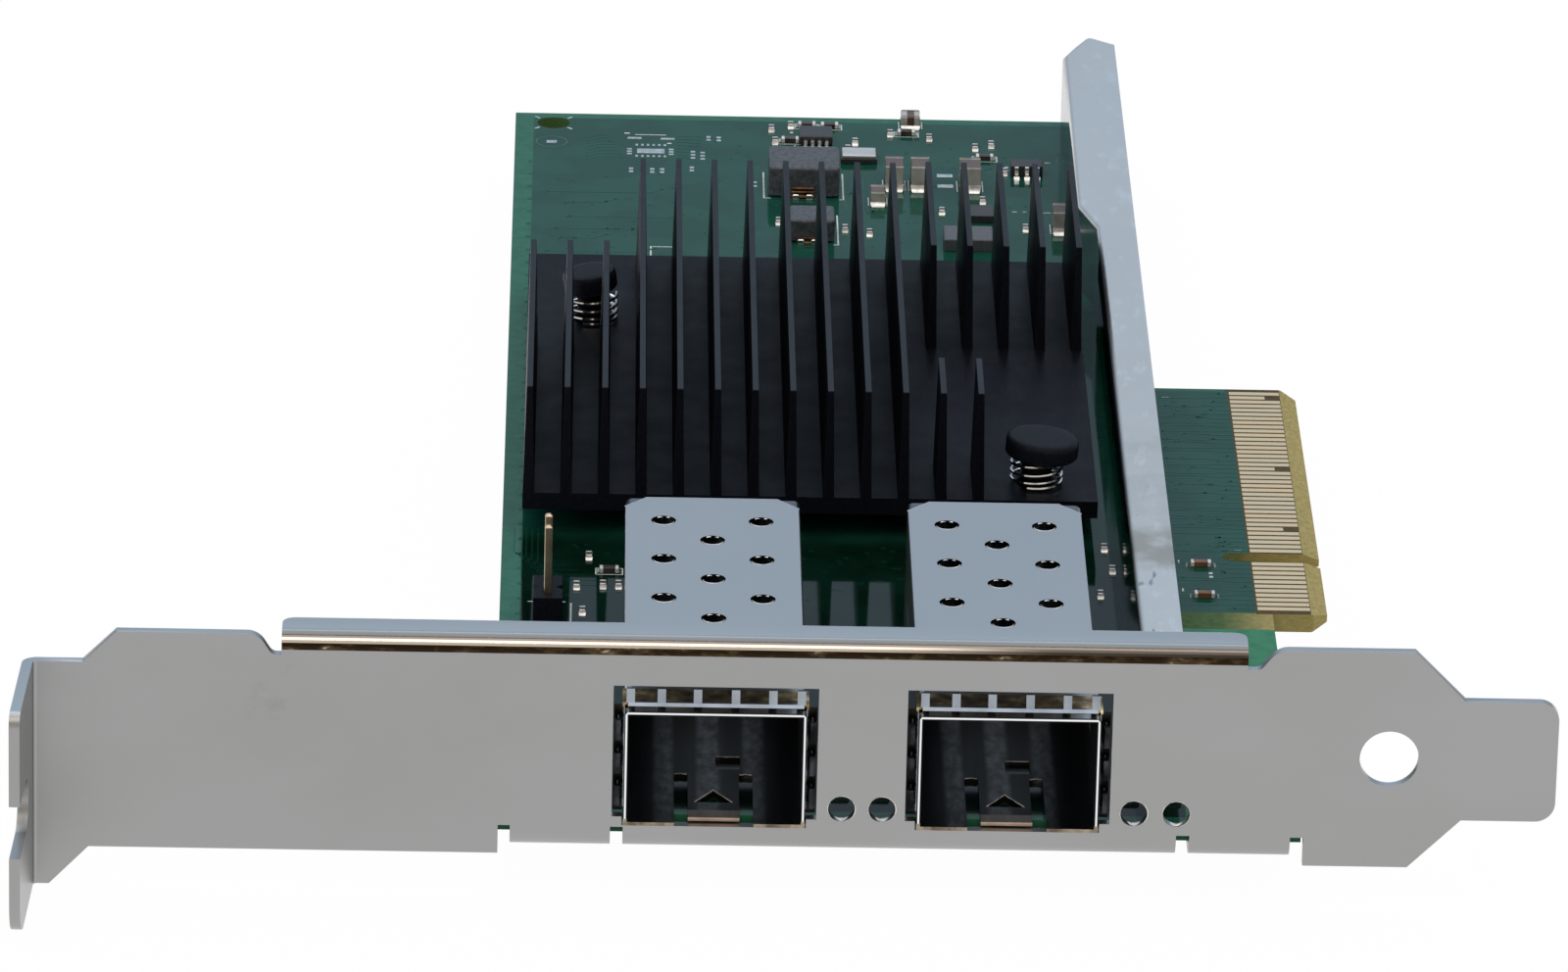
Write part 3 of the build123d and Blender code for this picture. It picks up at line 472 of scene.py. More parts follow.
def plated_bar():
    """Bright plate with rubbed patches, short scuffs, a brown smudge near the front, and painted shade with a
    painted greenish reflection of the board on its web.
    """
    s = Surface("plated_bar", (0.62, 0.63, 0.64), 0.30, metallic=1.0)
    patches = s.noise(60, 5, (1, 0.5, 1))
    scuffs = s.noise(900, 4, (1, 0.35, 1))
    base = s.ramp(patches, ((0.35, (0.60, 0.585, 0.565)), (0.65, (0.74, 0.72, 0.69))))
    base = s.mix(s.ramp(scuffs, ((0.56, 0.0), (0.70, 0.40))), base, (0.86, 0.87, 0.88))
    marks = s.ramp(s.noise(520, 2, (1, 0.25, 1), 0.7), ((0.68, 0.0), (0.71, 0.8)))
    base = s.mix(s.both(marks, s.below("Y", 60.0, 14.0)), base, (0.20, 0.20, 0.21))
    worn = s.both(s.ramp(s.noise(130, 4), ((0.50, 0.0), (0.62, 0.35))), s.within("Y", 36.0, 70.0, 6.0))
    base = s.mix(worn, base, (0.46, 0.44, 0.40))
    smudge = s.both(s.within("Y", 37.5, 46.0, 1.6), s.ramp(s.noise(260, 4), ((0.34, 0.10), (0.60, 0.85))))
    base = s.mix(smudge, base, (0.40, 0.365, 0.31))
    # painted shade on the web under the top, with a painted greenish reflection of the board and pale flecks
    web = s.both(s.below("Z", 9.9, 0.15), s.math("LESS_THAN", s.facing("X"), -0.5))
    flecks = s.ramp(s.noise(1300, 4, (1, 0.5, 1)), ((0.60, 0.0), (0.66, 1.0)))
    side = s.ramp(s.noise(300, 3, (1, 1, 2)), ((0.3, (0.10, 0.13, 0.13)), (0.7, (0.22, 0.26, 0.27))))
    side = s.mix(s.both(flecks, s.below("Y", 75.0, 20.0)), side, (0.75, 0.76, 0.74))
    s.color(s.mix(web, base, side))
    s.roughness(s.mix(web, s.ramp(patches, ((0.3, 0.40), (0.7, 0.28))), (0.12, 0.12, 0.12)))
    s.bump(scuffs, 0.008)
    return s.mat


def tin_solder():
    """Bright solder and tinned lands."""
    tones = ((0.3, (0.50, 0.50, 0.49)), (0.7, (0.80, 0.80, 0.79)))
    return mottled("tin_solder", (0.62, 0.62, 0.61), 0.26, 1800, tones, relief=0.02, metallic=1.0).mat


def tinned_end():
    """Plated ends of the small ceramic parts."""
    tones = ((0.3, (0.50, 0.50, 0.49)), (0.7, (0.86, 0.86, 0.84)))
    return mottled("tinned_end", (0.60, 0.61, 0.60), 0.38, 1500, tones, relief=0.02, metallic=0.3).mat


def tall_end():
    """Ends of the tall capacitors: silver faces, brownish tops, and a brown middle on the rear one."""
    s = Surface("tall_end", (0.40, 0.40, 0.38), 0.40, metallic=0.25)
    tone = s.noise(900, 3)
    face = s.ramp(tone, ((0.3, (0.30, 0.31, 0.29)), (0.7, (0.52, 0.52, 0.48))))
    lid = s.ramp(tone, ((0.3, (0.10, 0.075, 0.068)), (0.7, (0.20, 0.165, 0.15))))
    brown = s.ramp(tone, ((0.3, (0.055, 0.028, 0.020)), (0.7, (0.12, 0.066, 0.045))))
    middle = s.both(s.above("Y", REAR_CAP_Y), s.within("X", *REAR_CAP_MIDDLE_X))
    s.color(s.mix(middle, s.mix(s.step(s.facing("Z"), 0.80, 0.95), face, lid), brown))
    s.bump(tone, 0.02)
    return s.mat


def ceramic():
    """Fired ceramic, orange-brown on the two capacitors beside the edge contacts."""
    s = Surface("fired_ceramic", (0.085, 0.058, 0.045), 0.40)
    tone = s.noise(800, 3)
    brown = s.ramp(tone, ((0.3, (0.060, 0.042, 0.036)), (0.7, (0.115, 0.078, 0.060))))
    orange = s.ramp(tone, ((0.3, (0.085, 0.034, 0.010)), (0.7, (0.19, 0.085, 0.028))))
    silver = s.both(s.above("Y", REAR_CAP_Y), s.within("X", 71.0, 75.0, 0.1),
                    s.flip(s.within("X", *REAR_CAP_MIDDLE_X)))
    s.color(s.mix(silver, s.mix(s.above("X", FINE_CAPS_X, 0.1), brown, orange), (0.42, 0.42, 0.40)))
    s.bump(tone, 0.01)
    return s.mat


def chip_black():
    """Dark glassy tops of the small resistors and capacitors."""
    tones = ((0.35, (0.010, 0.009, 0.009)), (0.65, (0.045, 0.034, 0.028)))
    return mottled("chip_black", (0.02, 0.018, 0.017), 0.35, 900, tones, relief=0.01).mat


def ferrite():
    """Pressed iron powder, sugary grain."""
    tones = ((0.35, (0.040, 0.045, 0.053)), (0.7, (0.095, 0.103, 0.118)))
    return mottled("pressed_ferrite", (0.06, 0.065, 0.075), 0.5, 2600,
                   tones, detail=4, relief=0.03, metallic=0.2).mat


def copper_wire():
    """Varnished winding of the coils."""
    tones = ((0.3, (0.10, 0.055, 0.038)), (0.7, (0.28, 0.165, 0.11)))
    return mottled("copper_wire", (0.46, 0.17, 0.08), 0.28, 1600, tones, detail=2, metallic=1.0).mat


def chip_laminate():
    """Green carrier under the controller's lid."""
    tones = ((0.4, (0.016, 0.06, 0.03)), (0.6, (0.03, 0.09, 0.05)))
    return mottled("chip_laminate", (0.02, 0.07, 0.035), 0.35, 900, tones, detail=2).mat


def painted_glint_finish():
    """Pale colour of the painted glints along edges of thin plate."""
    tones = ((0.36, (0.42, 0.41, 0.39)), (0.60, (0.90, 0.88, 0.85)))
    return mottled("painted_glint_finish", (0.80, 0.79, 0.76), 0.45, 1200, tones).mat


def lid_metal():
    """Dull metal of the clock crystal's and the controller's lids."""
    tones = ((0.3, (0.56, 0.55, 0.53)), (0.7, (0.68, 0.67, 0.65)))
    return mottled("crystal_lid", (0.62, 0.60, 0.58), 0.42, 500, tones, relief=0.01, metallic=0.85).mat


def soft_pad():
    """Grey rubbery pad under the heat sink."""
    tones = ((0.3, (0.25, 0.25, 0.27)), (0.7, (0.36, 0.36, 0.38)))
    return mottled("thermal_pad", (0.30, 0.30, 0.32), 0.8, 1500, tones, relief=0.04).mat


def lamp_resin():
    """Clear milky resin of the lamps."""
    tones = ((0.3, (0.45, 0.56, 0.42)), (0.7, (0.64, 0.70, 0.58)))
    s = mottled("lamp_resin", (0.55, 0.62, 0.50), 0.12, 900, tones, detail=2)
    s.set("Transmission Weight", 0.5)
    return s.mat


FINISH = {
    "plated": plated_sheet(), "mask": solder_mask(), "track": lighter_mask(), "silk": silk_ink(),
    "gold": gold(), "pin": pin_plate(), "cage": cage_sheet(), "inside": cage_inside(),
    "latch": latch_copper(), "spring": spring_sheet(), "anodised": black_anodised(),
    "plastic": black_plastic(), "epoxy": moulded_epoxy(), "grey_epoxy": grey_epoxy(),
    "wire": steel_wire(), "bar": plated_bar(),
    "solder": tin_solder(), "tinned": tinned_end(), "tall_end": tall_end(), "edge": painted_glint_finish(),
    "ceramic": ceramic(), "ferrite": ferrite(), "copper": copper_wire(), "chip": chip_black(),
    "laminate": chip_laminate(), "lid": lid_metal(), "pad": soft_pad(), "lamp": lamp_resin(),
}
NODE_FINISH = {
    "board": "mask", "edge_contacts": "gold", "io_bracket": "plated", "bracket_screws": "wire",
    "module_cage_1": "cage", "module_cage_2": "cage", "cage_springs_1": "spring", "cage_springs_2": "spring",
    "module_connector_1": "plastic", "module_connector_2": "plastic", "module_contacts": "gold",
    "heat_sink": "anodised", "controller_substrate": "laminate", "controller_lid": "lid",
    "thermal_pad": "pad", "push_pins": "plastic", "push_pin_springs": "wire", "stiffening_bar": "bar",
    "header_base": "plastic",
    "header_pins": "pin", "power_inductor_large": "ferrite", "power_inductor_small": "ferrite",
    "inductor_terminals": "solder", "flash_memory": "epoxy", "flash_leads": "solder", "crystal_base": "epoxy",
    "crystal_lid": "lid", "tall_capacitors": "ceramic", "tall_capacitor_ends": "tall_end",
    "driver_package": "epoxy", "power_stage_packages": "grey_epoxy", "array_package": "epoxy",
    "array_terminals": "solder", "chip_bodies": "ceramic", "chip_end_caps": "tinned",
    "back_capacitors": "ceramic", "back_capacitor_ends": "tinned", "status_leds": "lamp",
}
for name, finish in NODE_FINISH.items():
    nodes[name].data.materials.clear()
    nodes[name].data.materials.append(FINISH[finish])


# Pieces. Everything below is made in metres in the frame, from millimetres in the card's measure.
def new_piece(name, bm, finish, smooth=True):
    mesh = bpy.data.meshes.new(name)
    bmesh.ops.recalc_face_normals(bm, faces=bm.faces)
    bm.to_mesh(mesh)
    bm.free()
    for polygon in mesh.polygons:
        polygon.use_smooth = smooth
    if smooth:
        mesh.set_sharp_from_angle(angle=math.radians(32))
    piece = bpy.data.objects.new(name, mesh)
    bpy.context.scene.collection.objects.link(piece)
    for each in (finish if isinstance(finish, tuple) else (finish,)):
        mesh.materials.append(FINISH[each])
    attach(piece, BODY)
    return piece


def welded(node):
    """Copy of a node's mesh with its split corners joined."""
    bm = bmesh.new()
    bm.from_mesh(nodes[node].data)
    bmesh.ops.remove_doubles(bm, verts=bm.verts, dist=WELD)
    return bm


def soften(node, width, segments=2, angle=34, finish=None, pick=None, shape=None):
    """Stand-in for a CAD node with its edges broken by a small bevel that catches the light."""
    bm = welded(node)
    bmesh.ops.dissolve_limit(bm, angle_limit=math.radians(0.6), verts=bm.verts, edges=bm.edges)
    if shape:
        shape(bm)
    piece = new_piece(node + "_finished", bm, finish or NODE_FINISH[node])
    bevel = piece.modifiers.new("edges", "BEVEL")
    bevel.width = mm(width)
    bevel.segments = segments
    bevel.limit_method = "ANGLE"
    bevel.angle_limit = math.radians(angle)
    bevel.harden_normals = True
    bevel.use_clamp_overlap = True
    if pick:
        for polygon in piece.data.polygons:
            polygon.material_index = pick(polygon.center * 1000 + ORIGIN)
    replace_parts(piece, node)


def islands(node):
    """Boxes (low, high) of a node's separate solids, in card millimetres."""
    bm = welded(node)
    seen, boxes = set(), []
    for start in bm.verts:
        if start in seen:
            continue
        stack, group = [start], []
        seen.add(start)
        while stack:
            v = stack.pop()
            group.append(v.co * 1000 + ORIGIN)
            for edge in v.link_edges:
                other = edge.other_vert(v)
                if other not in seen:
                    seen.add(other)
                    stack.append(other)
        boxes.append(tuple(Vector(f(p[k] for p in group) for k in range(3)) for f in (min, max)))
    bm.free()
    return boxes


# Small forms, each shaped in a bmesh of its own and then joined to its piece.
def join(bm, part):
    """Move a finished form into the bmesh of its piece."""
    mesh = bpy.data.meshes.new("part")
    part.to_mesh(mesh)
    part.free()
    bm.from_mesh(mesh)
    bpy.data.meshes.remove(mesh)


def thicken(part, height):
    """Give flat faces a thickness, upwards or, below 0, downwards."""
    made = bmesh.ops.extrude_face_region(part, geom=part.faces[:])["geom"]
    verts = [v for v in made if isinstance(v, bmesh.types.BMVert)]
    bmesh.ops.translate(part, verts=verts, vec=(0, 0, mm(height)))


def slab(bm, x, y, z, inset=0.0):
    """Low box whose top edges are drawn in a little."""
    part = bmesh.new()
    size = [mm(high - low) for low, high in (x, y, z)]
    place = Matrix.Translation(at(sum(x) / 2, sum(y) / 2, sum(z) / 2)) @ Matrix.Diagonal((*size, 1))
    bmesh.ops.create_cube(part, size=1.0, matrix=place)
    if inset:
        middle = at(0, 0, sum(z) / 2).z
        brow = [e for e in part.edges if all(v.co.z > middle for v in e.verts)]
        bmesh.ops.bevel(part, geom=brow, offset=mm(inset), segments=1, profile=0.5, affect="EDGES",
                        material=-1)
    join(bm, part)


def washer(bm, x, y, z, radius, hole, sides):
    """Flat ring with a round hole."""
    part = bmesh.new()
    for r in (radius, hole):
        bmesh.ops.create_circle(part, segments=sides, radius=mm(r), matrix=Matrix.Translation(at(x, y, z[0])))
    bmesh.ops.bridge_loops(part, edges=part.edges[:])
    thicken(part, z[1] - z[0])
    join(bm, part)


def ribbon(bm, points, width, z):
    """Flat ribbon through points in X and Y, mitred at its corners."""
    stations = []
    for k, (x, y) in enumerate(points):
        before = points[max(k - 1, 0)]
        after = points[min(k + 1, len(points) - 1)]
        a = Vector((x - before[0], y - before[1])).normalized() if k else None
        b = Vector((after[0] - x, after[1] - y)).normalized() if k < len(points) - 1 else None
        a, b = a or b, b or a
        normal = Vector((-(a + b).y, (a + b).x)).normalized()
        reach = width / 2 / max(0.3, normal.dot(Vector((-a.y, a.x))))
        stations.append([at(x + normal.x * out, y + normal.y * out, z[0]) for out in (reach, -reach)])
    part = bmesh.new()
    end = part.edges.new([part.verts.new(place) for place in stations[0]])
    for station in stations[1:]:
        made = bmesh.ops.extrude_edge_only(part, edges=[end])["geom"]
        end = next(e for e in made if isinstance(e, bmesh.types.BMEdge))
        for vert, place in zip(end.verts, station):
            vert.co = place
    thicken(part, z[1] - z[0])
    join(bm, part)


def turned(bm, profile, place, sides=40, lean=0.0, pivot=0.0):
    """Turned form about an upright axis, from a profile of (radius, height), leant about a height."""
    part = bmesh.new()
    verts = [part.verts.new((mm(r), 0, mm(z - pivot))) for r, z in profile]
    edges = [part.edges.new(pair) for pair in zip(verts, verts[1:])]
    bmesh.ops.spin(part, geom=verts + edges, axis=(0, 0, 1), angle=math.tau, steps=sides, use_merge=True)
    bmesh.ops.holes_fill(part, edges=[e for e in part.edges if e.is_boundary], sides=0)
    stand = Matrix.Translation(at(*place, pivot)) @ Matrix.Rotation(math.radians(lean), 4, "Y")
    bmesh.ops.transform(part, matrix=stand, verts=part.verts)
    join(bm, part)


def wire(bm, path, radius, sides=8):
    """Round wire along a path of points in card millimetres."""
    stations, side = [], None
    for k, p in enumerate(path):
        ahead = (Vector(path[min(k + 1, len(path) - 1)]) - Vector(path[max(k - 1, 0)])).normalized()
        side = (side - ahead * side.dot(ahead)).normalized() if side else ahead.orthogonal().normalized()
        turn = Matrix((side, ahead.cross(side), ahead)).transposed().to_4x4()
        stations.append(Matrix.Translation(at(*p)) @ turn)
    part = bmesh.new()
    bmesh.ops.create_circle(part, cap_ends=True, segments=sides, radius=mm(radius), matrix=stations[0])
    end = part.faces[:][0]
    for before, after in zip(stations, stations[1:]):
        made = bmesh.ops.extrude_face_region(part, geom=[end, *end.edges])["geom"]
        end = next(f for f in made if isinstance(f, bmesh.types.BMFace))
        bmesh.ops.transform(part, matrix=after @ before.inverted(), verts=end.verts[:])
    join(bm, part)


def loft(bm, rims):
    """Closed form through successive rims of points, its two ends filled."""
    part = bmesh.new()
    loops = []
    for points in rims:
        verts = [part.verts.new(at(*p)) for p in points]
        loops.append([part.edges.new(pair) for pair in zip(verts, verts[1:] + verts[:1])])
    for a, b in zip(loops, loops[1:]):
        bmesh.ops.bridge_loops(part, edges=a + b)
    bmesh.ops.holes_fill(part, edges=loops[0] + loops[-1], sides=0)
    join(bm, part)


# Edges broken on every sheet, moulding and chip that shows.
def in_cage(p):
    """Faces inside a port cage take the finish painted into shade; the front lip of the latch is copper."""
    aside = min(abs(cx - p.x) for cx in CAGES_X)
    if aside > 6.95 or not 2.75 < p.z < 12.2 or p.y < -0.1:
        return 0
    return 2 if aside < 2.1 and p.y < 0.9 else 1


def in_fine_row(p):
    """The two long capacitors by the edge contacts are brown, the small chips black."""
    return 0 if p.x > FINE_CAPS_X else 1


def press_bracket(bm):
    """Press marks of the stamped bracket: a tight long bend, rounded flange ends and notch corners."""
    tighter = 0.20
    bend_y, bend_z = 1.5, 16.92
    for v in bm.verts:
        p = v.co * 1000 + ORIGIN
        if 19.0 < p.x < 95.3 and p.y < bend_y + 0.01 and p.z > bend_z - 0.02:
            arm = Vector((0, p.y - bend_y, p.z - bend_z))
            if arm.length > 0.5:
                arm = arm.normalized() * (arm.length - tighter)
                v.co = at(p.x, bend_y - tighter + arm.y, bend_z + tighter + arm.z)

    def near(mid, place):
        return all(abs(mid[k] - place[k]) < 0.12 for k in range(3) if place[k] is not None)

    def round_edges(along, places, radius):
        picked = []
        for edge in bm.edges:
            a, b = (v.co * 1000 + ORIGIN for v in edge.verts)
            run = b - a
            straight = run.length > 0.3 and abs(run[along]) > 0.98 * run.length
            if straight and any(near((a + b) / 2, place) for place in places):
                picked.append(edge)
        bmesh.ops.bevel(bm, geom=picked, offset=mm(radius), segments=5, profile=0.5, affect="EDGES",
                        material=-1, clamp_overlap=True)

    round_edges(2, [(19.05, 3.6, None), (95.25, 3.6, None)], 1.0)
    round_edges(1, [(17.20, None, 18.42), (97.60, None, 18.42)], 0.8)
    round_edges(1, [(18.30, None, 16.67), (96.20, None, 16.67)], 0.35)


def fine_caps(bm):
    """The two capacitors beside the edge contacts are slimmer than their solids."""
    middle_x, rows_y = 94.6, (50.125, 57.075)
    for v in bm.verts:
        p = v.co * 1000 + ORIGIN
        if p.x > FINE_CAPS_X:
            y = min(rows_y, key=lambda row: abs(row - p.y))
            v.co = at(middle_x + 0.86 * (p.x - middle_x), y + 0.70 * (p.y - y),
                      BOARD_TOP + 0.75 * (p.z - BOARD_TOP))


soften("io_bracket", 0.10, 2, 40, shape=press_bracket)
soften("heat_sink", 0.09, 2, 40)
soften("stiffening_bar", 0.10, 2, 40)
soften("bracket_screws", 0.12, 2, 30)
for name in ("module_cage_1", "module_cage_2"):
    soften(name, 0.04, 1, 50, ("cage", "inside", "latch"), in_cage)
for name in ("header_base", "crystal_base", "driver_package", "array_package", "flash_memory"):
    soften(name, 0.07, 2)
for name in ("power_inductor_large", "power_inductor_small"):
    soften(name, 0.12, 3)
soften("power_stage_packages", 0.06, 2)
soften("crystal_lid", 0.09, 3)
soften("tall_capacitors", 0.07, 2)
soften("tall_capacitor_ends", 0.11, 3)
soften("chip_bodies", 0.035, 1, finish=("ceramic", "chip"), pick=in_fine_row, shape=fine_caps)
soften("chip_end_caps", 0.06, 2, shape=fine_caps)
soften("back_capacitors", 0.035, 1)
soften("back_capacitor_ends", 0.06, 2)
soften("header_pins", 0.06, 2)
soften("array_terminals", 0.07, 2)
soften("status_leds", 0.12, 2)
soften("module_connector_1", 0.08, 1)
soften("module_connector_2", 0.08, 1)


def mouth_details():
    """Dark sheets in the side gaps of the spring collars as painted shade, and painted glints on the side
    springs and the cut edges on the cages' floors.
    """
    shade_sheets, glints = bmesh.new(), bmesh.new()
    z = 3.0
    for cx in CAGES_X:
        # painted glints: pale wires along the latch's cut edge, the window's rear edge, the side springs and
        # the slot ends
        latch = [(cx - 1.5, 3.9, z), (cx - 0.15, 6.05, z + 0.02), (cx, 6.3, z + 0.06),
                 (cx + 0.15, 6.05, z + 0.02), (cx + 1.5, 3.9, z)]
        wire(glints, latch, 0.05, 6)
        wire(glints, [(cx + 0.25, 13.22, z), (cx + 2.15, 13.22, z)], 0.05, 6)
        for side in (-1, 1):
            # dark sheets in the side gaps of the collars, standing in for shade
            slab(shade_sheets, sorted((cx + side * 7.24, cx + side * 8.04)), (1.32, 1.44), (3.35, 12.4), 0.03)
            x = cx + side * 7.66
            for low in (3.6, 6.42, 9.22):
                wire(glints, [(x, 1.28, low + 0.2), (x + side * 0.10, 1.25, low + 1.1), (x, 1.28, low + 2.3)],
                     0.035, 6)
            a, b = cx + side * 2.12, cx + side * 3.08
            wire(glints, [(a, 9.52, z), ((a + b) / 2, 9.66, z), (b, 9.52, z)], 0.05, 6)
    new_piece("collar_shade_sheets", shade_sheets, "inside")
    new_piece("painted_cage_glints", glints, "edge")


def crescent(bm, place, across, up, radius, turns, thick, sides=14):
    """Slim painted highlight on the rim of a round hole; across and up span the plane of the hole."""
    start, stop = (math.radians(a) for a in turns)
    part = bmesh.new()
    for outer in (0, 1):
        verts = []
        for k in range(sides + 1):
            a = start + (stop - start) * k / sides
            reach = radius + outer * (thick * math.sin(math.pi * k / sides) + 0.01)
            verts.append(part.verts.new(at(*(place + (across * math.cos(a) + up * math.sin(a)) * reach))))
        for pair in zip(verts, verts[1:]):
            part.edges.new(pair)
    bmesh.ops.bridge_loops(part, edges=part.edges[:])
    join(bm, part)


def painted_sheet_glints():
    """Painted highlights: pale arcs round the holes of the bracket and lines along the rear edges of its
    flange and flaps.
    """
    bm = bmesh.new()
    x_axis, y_axis, z_axis = Vector((1, 0, 0)), Vector((0, 1, 0)), Vector((0, 0, 1))
    for x in LAMP_HOLES_X:
        hole = Vector((x, -0.012, 4.25))
        for radius, turns, thick, sides in ((0.80, (-128, -52), 0.20, 14), (1.07, (-75, 115), 0.07, 24),
                                            (1.07, (120, 215), 0.05, 14)):
            crescent(bm, hole, x_axis, z_axis, radius, turns, thick, sides)
    for left, right in FLAPS_X:
        for row in range(6):
            for dx in ((0,) if row % 2 == 0 else (-3.94, 3.94)):
                hole = Vector(((left + right) / 2 + dx, 4.87 + 4.165 * row, 18.40))
                for radius, turns, thick, sides in ((0.86, (-170, -10), 0.12, 20), (0.72, (50, 74), 0.22, 6),
                                                    (0.72, (96, 132), 0.20, 6)):
                    crescent(bm, hole, x_axis, y_axis, radius, turns, thick, sides)
        rear = [(left - 0.02, 28.76), (left + 1.74, 30.77), (right - 1.74, 30.77), (right + 0.02, 28.76)]
        wire(bm, [(x, y, 18.35) for x, y in rear], 0.06, 6)
    wire(bm, [(20.2, 3.615, 18.36), (94.1, 3.615, 18.36)], 0.05, 6)
    new_piece("bracket_painted_glints", bm, "edge")


def array_straps():
    """Bright straps that climb the front of the small array part."""
    bm = bmesh.new()
    for k in (-1, 0, 1):
        x = 82.95 + 0.95 * k
        slab(bm, (x - 0.2, x + 0.2), (152.12, 152.40), (BOARD_TOP + 0.5, BOARD_TOP + 1.02), 0.04)
    new_piece("array_straps", bm, "solder")


def push_pins():
    """Turned caps with a soft shoulder, a little askew as pushed home, on split barbed shafts."""
    bm = bmesh.new()
    rims = [(0.9, 8.95), (2.3, 8.95), (2.95, 9.05), (3.08, 9.2), (3.10, 10.15), (3.04, 10.42), (2.86, 10.62),
            (2.60, 10.70), (2.1, 10.72), (0.4, 10.72)]
    shaft = [(0.35, 0.95), (1.35, 0.95), (1.35, 9.15), (0.35, 9.15)]
    leans, widths, asides, rises = (4.4, -8.0), (1.0, 0.76), (0.40, -0.15), (0.0, 0.30)
    for (x, y), lean, wide, aside, rise in zip(PIN_PLACES, leans, widths, asides, rises):
        turned(bm, [(r * wide, z + rise) for r, z in rims], (x + aside, y), 44, lean, 9.3)
        turned(bm, shaft, (x, y), 28)
        turns = [math.radians(-78 + 156 * k / 8) for k in range(9)]
        for side in (-1, 1):
            loft(bm, [[(x + side * max(0.3, r * math.cos(a)), y + side * r * math.sin(a), z) for a in turns]
                      for r, z in ((0.85, -1.35), (1.25, -1.05), (1.93, 0.92), (1.30, 1.02))])
    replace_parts(new_piece("push_pins_turned", bm, "plastic"), "push_pins")


def pin_springs():
    """Three and a bit turns of round wire, closer together at the foot."""
    bm = bmesh.new()
    turns, steps, radius = 3.35, 36, 2.13
    for x, y in PIN_PLACES:
        path = []
        for k in range(int(turns * steps) + 1):
            t = k / steps
            a = math.tau * t - math.pi * 0.62
            height = 6.70 + 2.16 * (t / turns) ** 1.3
            path.append((x + radius * math.cos(a), y + radius * math.sin(a), height))
        wire(bm, path, 0.155)
    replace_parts(new_piece("push_pin_springs_wound", bm, "wire"), "push_pin_springs")


def fillets():
    """Solder wetted up the metal ends of the small parts, and along leads, hollow in section."""
    bm = bmesh.new()
    rng = random.Random(7)

    def fillet(x, y, direction, reach, height, base=BOARD_TOP, up=1):
        """A concave wedge outside one face; direction is the axis and sign it runs out along."""
        axis, sign = direction
        edge = (x[1] if sign > 0 else x[0]) if axis == 0 else (y[1] if sign > 0 else y[0])
        span = y if axis == 0 else x
        rims = []
        for part in (0.0, 0.25, 0.55, 1.0):
            out = edge + sign * reach * part
            high = base + up * max(0.012, height * (1 - part) ** 2)
            ease = 0.10 * part * (span[1] - span[0]) - 0.04
            a, b = span[0] + ease, span[1] - ease
            corners = ((a, base), (a, high), (b, high), (b, base))
            rims.append([(out, run, z) if axis == 0 else (run, out, z) for run, z in corners])
        loft(bm, rims)

    def ends(end_node, body_node, reach, share, base=BOARD_TOP, up=1):
        bodies = [(low + high) / 2 for low, high in islands(body_node)]
        for low, high in islands(end_node):
            centre = (low + high) / 2
            away = centre - min(bodies, key=lambda b: (b - centre).length)
            axis = 0 if abs(away.x) > abs(away.y) else 1
            wet = share * (high.z - low.z) * rng.uniform(0.8, 1.1)
            fillet((low.x, high.x), (low.y, high.y), (axis, 1 if away[axis] > 0 else -1),
                   reach * rng.uniform(0.85, 1.15), wet, base, up)

    ends("chip_end_caps", "chip_bodies", 0.24, 0.75)
    ends("tall_capacitor_ends", "tall_capacitors", 0.42, 0.32)
    ends("back_capacitor_ends", "back_capacitors", 0.22, 0.75, BOARD_BOTTOM, -1)
    for low, high in islands("flash_leads"):
        out = 1 if low.y > 161 else -1
        fillet((low.x - 0.03, high.x + 0.03), (low.y, high.y), (1, out), 0.16, 0.10)
    for low, high in islands("array_terminals"):
        out = 1 if low.y > 153.4 else -1
        fillet((low.x - 0.03, high.x + 0.03), (low.y, high.y), (1, out), 0.30, 0.30)
    for low, high in islands("inductor_terminals"):
        middle = 148.75 if low.y > 143 else 135.95
        out = 1 if (low.y + high.y) / 2 > middle else -1
        fillet((low.x, high.x), (low.y, high.y), (1, out), 0.50, 0.11)
    new_piece("solder_fillets", bm, "solder")


def pin_solder():
    """Cones of solder round every pin that comes through the board, and the bar's soldered lugs."""
    bm = bmesh.new()

    def cone(place, profile):
        turned(bm, [(r, BOARD_BOTTOM - drop) for r, drop in profile], place, 16)

    for place in HEADER_PINS:
        cone(place, ((0.95, 0), (0.80, 0.14), (0.55, 0.55), (0.42, 0.85), (0.2, 0.9)))
    for cx in CAGES_X:
        for side in (-1, 1):
            for y in CAGE_PINS_Y:
                cone((cx + side * 7.05, y), ((0.80, 0), (0.74, 0.05), (0.52, 0.07)))
    for y in BAR_LUGS_Y:
        slab(bm, (87.95, 88.80), (y - 1.15, y + 1.15), (BOARD_BOTTOM - 0.25, BOARD_BOTTOM), 0.06)
    new_piece("pin_solder", bm, "solder")


